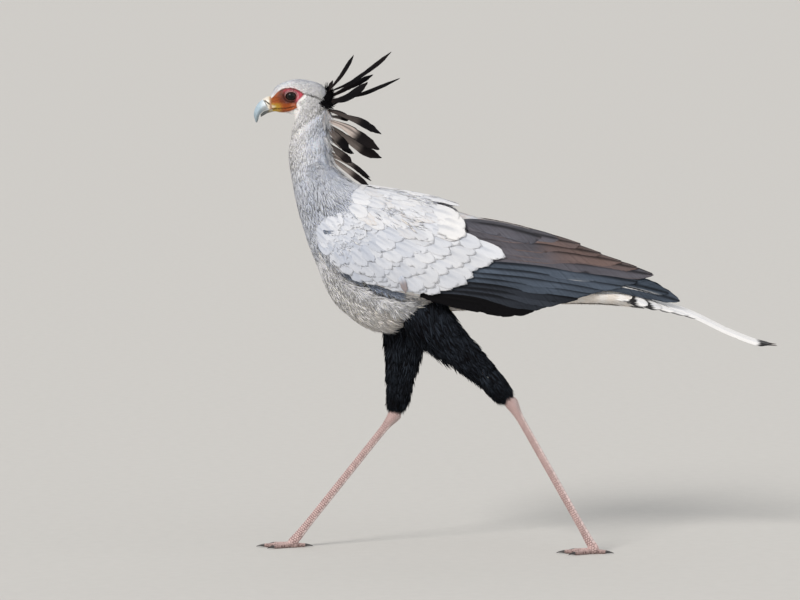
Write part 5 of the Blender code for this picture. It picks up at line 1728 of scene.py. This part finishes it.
class BIRD_OT_legs(bpy.types.Operator):
    """Bare scaled legs and feet, each in one skin"""
    bl_idname = "bird.legs"
    bl_label = "Legs and feet"

    def execute(self, context):
        hues = palette()
        for name in SIDES:
            end, hock, ankle, run, middle, toes = leg_lines(name)
            bend = unit(hock - end)
            length = np.linalg.norm(ankle - hock)
            rings = [ring_round(end + bend * 0.3, bend, 10.5, 10.5), ring_round(end + bend * 5, bend, 11, 10.5),
                     ring_round(hock, unit(bend + run), HOCK_RADIUS + 1, HOCK_RADIUS - 1.5)]
            for reach, radius in ((9, 11.4), (18, 9.4), (28, 8.1), (40, 7.4), (80, 7.2), (length / 2, TARSUS_RADIUS),
                                  (length - 60, TARSUS_RADIUS), (length - 30, 7.3), (length - 12, 8), (length, 8.5)):
                rings.append(ring_round(hock + run * reach, run, radius, radius * 0.9))
            down = unit(run + np.array((0.0, 0.0, -1.0)))
            rings += [ring_round(middle + (0, 0, 11), down, 9.5, 9), ring_round(middle + (0, 0, 4), (0, 0, -1), 10, 9.5),
                      ring_round(middle + (0, 0, 0.3), (0, 0, -1), 8.5, 8)]
            heap = Heap()
            smooth = spline(np.array(rings).reshape(len(rings), -1), np.linspace(0, len(rings) - 1, 90))
            for spots in [smooth.reshape(90, -1, 3)] + [toe_spots(middle, *toe) for toe in toes]:
                points, faces = closed_grid(spots)
                heap.add(points, faces, np.zeros((len(points), 3)), np.zeros((len(points), 2)))
            piece = heap.make("leg_" + name, leg_scales(), "leg_skin", ("tarsus_" + name, "foot_" + name))[0]
            applied(piece, ("one_skin", "REMESH", {"mode": "VOXEL", "voxel_size": 0.8 * MM}),
                    ("round", "SMOOTH", {"factor": 0.5, "iterations": 4}))
            points, normals = mesh_points(piece)
            height, front = leg_scale_heights(points, name)
            points += normals * (0.75 * height - 0.5)[:, None]
            points[:, 2] = np.maximum(points[:, 2], 0)
            piece.data.vertices.foreach_set("co", (points * MM).astype(np.float32).ravel())
            tint = mixed(hues["leg_line"], hues["leg"], ease(0.15, 0.75, height))
            tint = mixed(tint, hues["white"], 0.3 * front * ease(0.3, 0.8, height))
            tint = mixed(tint, hues["leg_line"], 0.28 * (0.5 + 0.5 * ripples(points, 14, 31)))
            tint = mixed(tint, hues["brown"], 0.3 * ease(16, 2, points[:, 2]) + 0.25 * ease(12, 4, points[:, 2]))
            recoloured(piece, tint)
        return {"FINISHED"}


class BIRD_OT_claws(bpy.types.Operator):
    """Curved claws of both feet"""
    bl_idname = "bird.claws"
    bl_label = "Claws"

    def execute(self, context):
        hues = palette()
        turn = np.linspace(0, 2 * math.pi, 25)[:-1]
        up = np.array((0.0, 0.0, 1.0))
        for name in SIDES:
            _, _, _, _, middle, toes = leg_lines(name)
            heap = Heap()
            for number, (along, length, _) in enumerate(toes):
                tip = middle + along * length + up * TOE_TIP_HEIGHT
                aside = np.cross(along, up)
                rings = []
                for t in np.linspace(-0.1, 1, 22):
                    centre = tip + along * (0.3 + CLAW_LENGTH * t) - up * (2.2 * max(0, t) ** 2)
                    radius = CLAW_RADIUS * (1 - max(0, t)) + 0.45 * max(0, t)
                    slope = unit(along - up * (4.4 * max(0, t) / CLAW_LENGTH))
                    lift = np.cross(aside, slope)
                    rings.append(centre + aside * (radius * 0.78 * np.cos(turn))[:, None]
                                 + lift * (radius * np.sin(turn))[:, None])
                points, faces = closed_grid(np.array(rings))
                points[:, 2] = np.maximum(points[:, 2], 0)
                share = np.clip((points - tip) @ along / CLAW_LENGTH, 0, 1)
                tint = mixed(hues["claw"] * 1.8, hues["claw"] * 0.6, share)
                places = np.stack([(number + 0.1 + 0.8 * share) / 4, 0.5 + 0.4 * (points - tip) @ aside / CLAW_RADIUS], -1)
                heap.add(points, faces, tint, places)
            heap.make("claws_" + name, keratin_horn("claw_keratin", 0.38, 0.1), "claw_horn",
                      [f"claw_{name}_{k}" for k in range(1, 5)])
        return {"FINISHED"}


def studio_paper():
    """Matt seamless paper: even and pale, with hardly any gloss."""
    material = bpy.data.materials.new("studio_paper")
    material.use_nodes = True
    tree = material.node_tree
    shader = tree.nodes["Principled BSDF"]
    places = node(tree, "TexCoord").outputs["Object"]
    grain = node(tree, "TexNoise", {"Vector": places, "Scale": 40.0, "Detail": 3.0})
    base = bpy.context.scene.bird_stage.floor
    shade = node(tree, "MapRange", {"Value": grain.outputs["Fac"], 1: 0.3, 2: 0.7, 3: 0.97, 4: 1.0}).outputs[0]
    scaled = node(tree, "VectorMath", {0: tuple(base), "Scale": shade}, operation="SCALE").outputs[0]
    tree.links.new(scaled, shader.inputs["Base Color"])
    shader.inputs["Roughness"].default_value = 0.95
    shader.inputs["Specular IOR Level"].default_value = 0.0
    return material


class BIRD_OT_stage(bpy.types.Operator):
    """Plain floor, soft studio lights and the camera"""
    bl_idname = "bird.stage"
    bl_label = "Stage"

    def execute(self, context):
        scene, settings = context.scene, context.scene.bird_stage
        shape = bmesh.new()
        bmesh.ops.create_circle(shape, cap_ends=True, segments=128, radius=FLOOR_RADIUS)
        mesh = bpy.data.meshes.new("floor")
        shape.to_mesh(mesh)
        shape.free()
        mesh.materials.append(studio_paper())
        floor = bpy.data.objects.new("floor", mesh)
        scene.collection.objects.link(floor)
        middle = Vector(LOOK_AT)
        key = bpy.data.objects.new("key", bpy.data.lights.new("key", "SUN"))
        key.data.energy = settings.key
        key.data.angle = math.radians(18)
        key.data.color = linear("#FFFBF6")
        key.rotation_euler = Vector(KEY_WAY).to_track_quat("Z", "Y").to_euler()
        scene.collection.objects.link(key)
        for name, way, share in FILL_LIGHTS:
            light = bpy.data.objects.new(name, bpy.data.lights.new(name, "SUN"))
            light.data.energy = settings.fill * share
            light.data.angle = math.radians(70)
            light.rotation_euler = Vector(way).to_track_quat("Z", "Y").to_euler()
            scene.collection.objects.link(light)
        world = bpy.data.worlds.new("studio")
        world.use_nodes = True
        tree = world.node_tree
        way = node(tree, "TexCoord").outputs["Generated"]
        height = node(tree, "SeparateXYZ", {"Vector": way}).outputs["Z"]
        glow = node(tree, "MapRange", {"Value": height, 1: 0.02, 2: 0.5, 3: 0.8, 4: 0.64}).outputs[0]
        sky = tree.nodes["Background"]
        sky.inputs["Color"].default_value = (*linear("#F2F3F5"), 1)
        tree.links.new(glow, sky.inputs["Strength"])
        scene.world = world
        camera = bpy.data.objects.new("camera", bpy.data.cameras.new("camera"))
        camera.data.lens = CAMERA_LENS
        camera.data.sensor_width = 36
        camera.data.clip_end = 2 * FLOOR_RADIUS
        back = Vector((0, -math.cos(settings.elevation), math.sin(settings.elevation)))
        camera.location = middle + back * settings.distance
        camera.rotation_euler = (-back).to_track_quat("-Z", "Y").to_euler()
        scene.collection.objects.link(camera)
        scene.camera = camera
        scene.view_settings.view_transform = "Standard"
        return {"FINISHED"}


BUILDERS = (BIRD_OT_skin, BIRD_OT_eyes, BIRD_OT_bill, BIRD_OT_legs, BIRD_OT_claws, BIRD_OT_coat,
            BIRD_OT_hackles, BIRD_OT_soft_feathers, BIRD_OT_trousers, BIRD_OT_wings, BIRD_OT_tail, BIRD_OT_crest, BIRD_OT_stage)
GROUPS = {"bird_colours": BirdColours, "bird_sizes": BirdSizes, "bird_stage": StageSettings}


class BIRD_PT_panel(bpy.types.Panel):
    """Settings and builders of the bird"""
    bl_label = "Secretary Bird"
    bl_idname = "BIRD_PT_panel"
    bl_space_type = "VIEW_3D"
    bl_region_type = "UI"
    bl_category = "Bird"

    def draw(self, context):
        for label, group in GROUPS.items():
            box = self.layout.box()
            for name in group.__annotations__:
                box.prop(getattr(context.scene, label), name)
        for builder in BUILDERS:
            self.layout.operator(builder.bl_idname)


def register():
    for group in GROUPS.values():
        bpy.utils.register_class(group)
    for label, group in GROUPS.items():
        setattr(bpy.types.Scene, label, PointerProperty(type=group))
    for builder in BUILDERS + (BIRD_PT_panel,):
        bpy.utils.register_class(builder)


def unregister():
    for builder in reversed(BUILDERS + (BIRD_PT_panel,)):
        bpy.utils.unregister_class(builder)
    for label in GROUPS:
        delattr(bpy.types.Scene, label)
    for group in reversed(list(GROUPS.values())):
        bpy.utils.unregister_class(group)


def main():
    register()
    for builder in BUILDERS:
        group, name = builder.bl_idname.split(".")
        getattr(getattr(bpy.ops, group), name)()


if __name__ == "__main__":
    main()
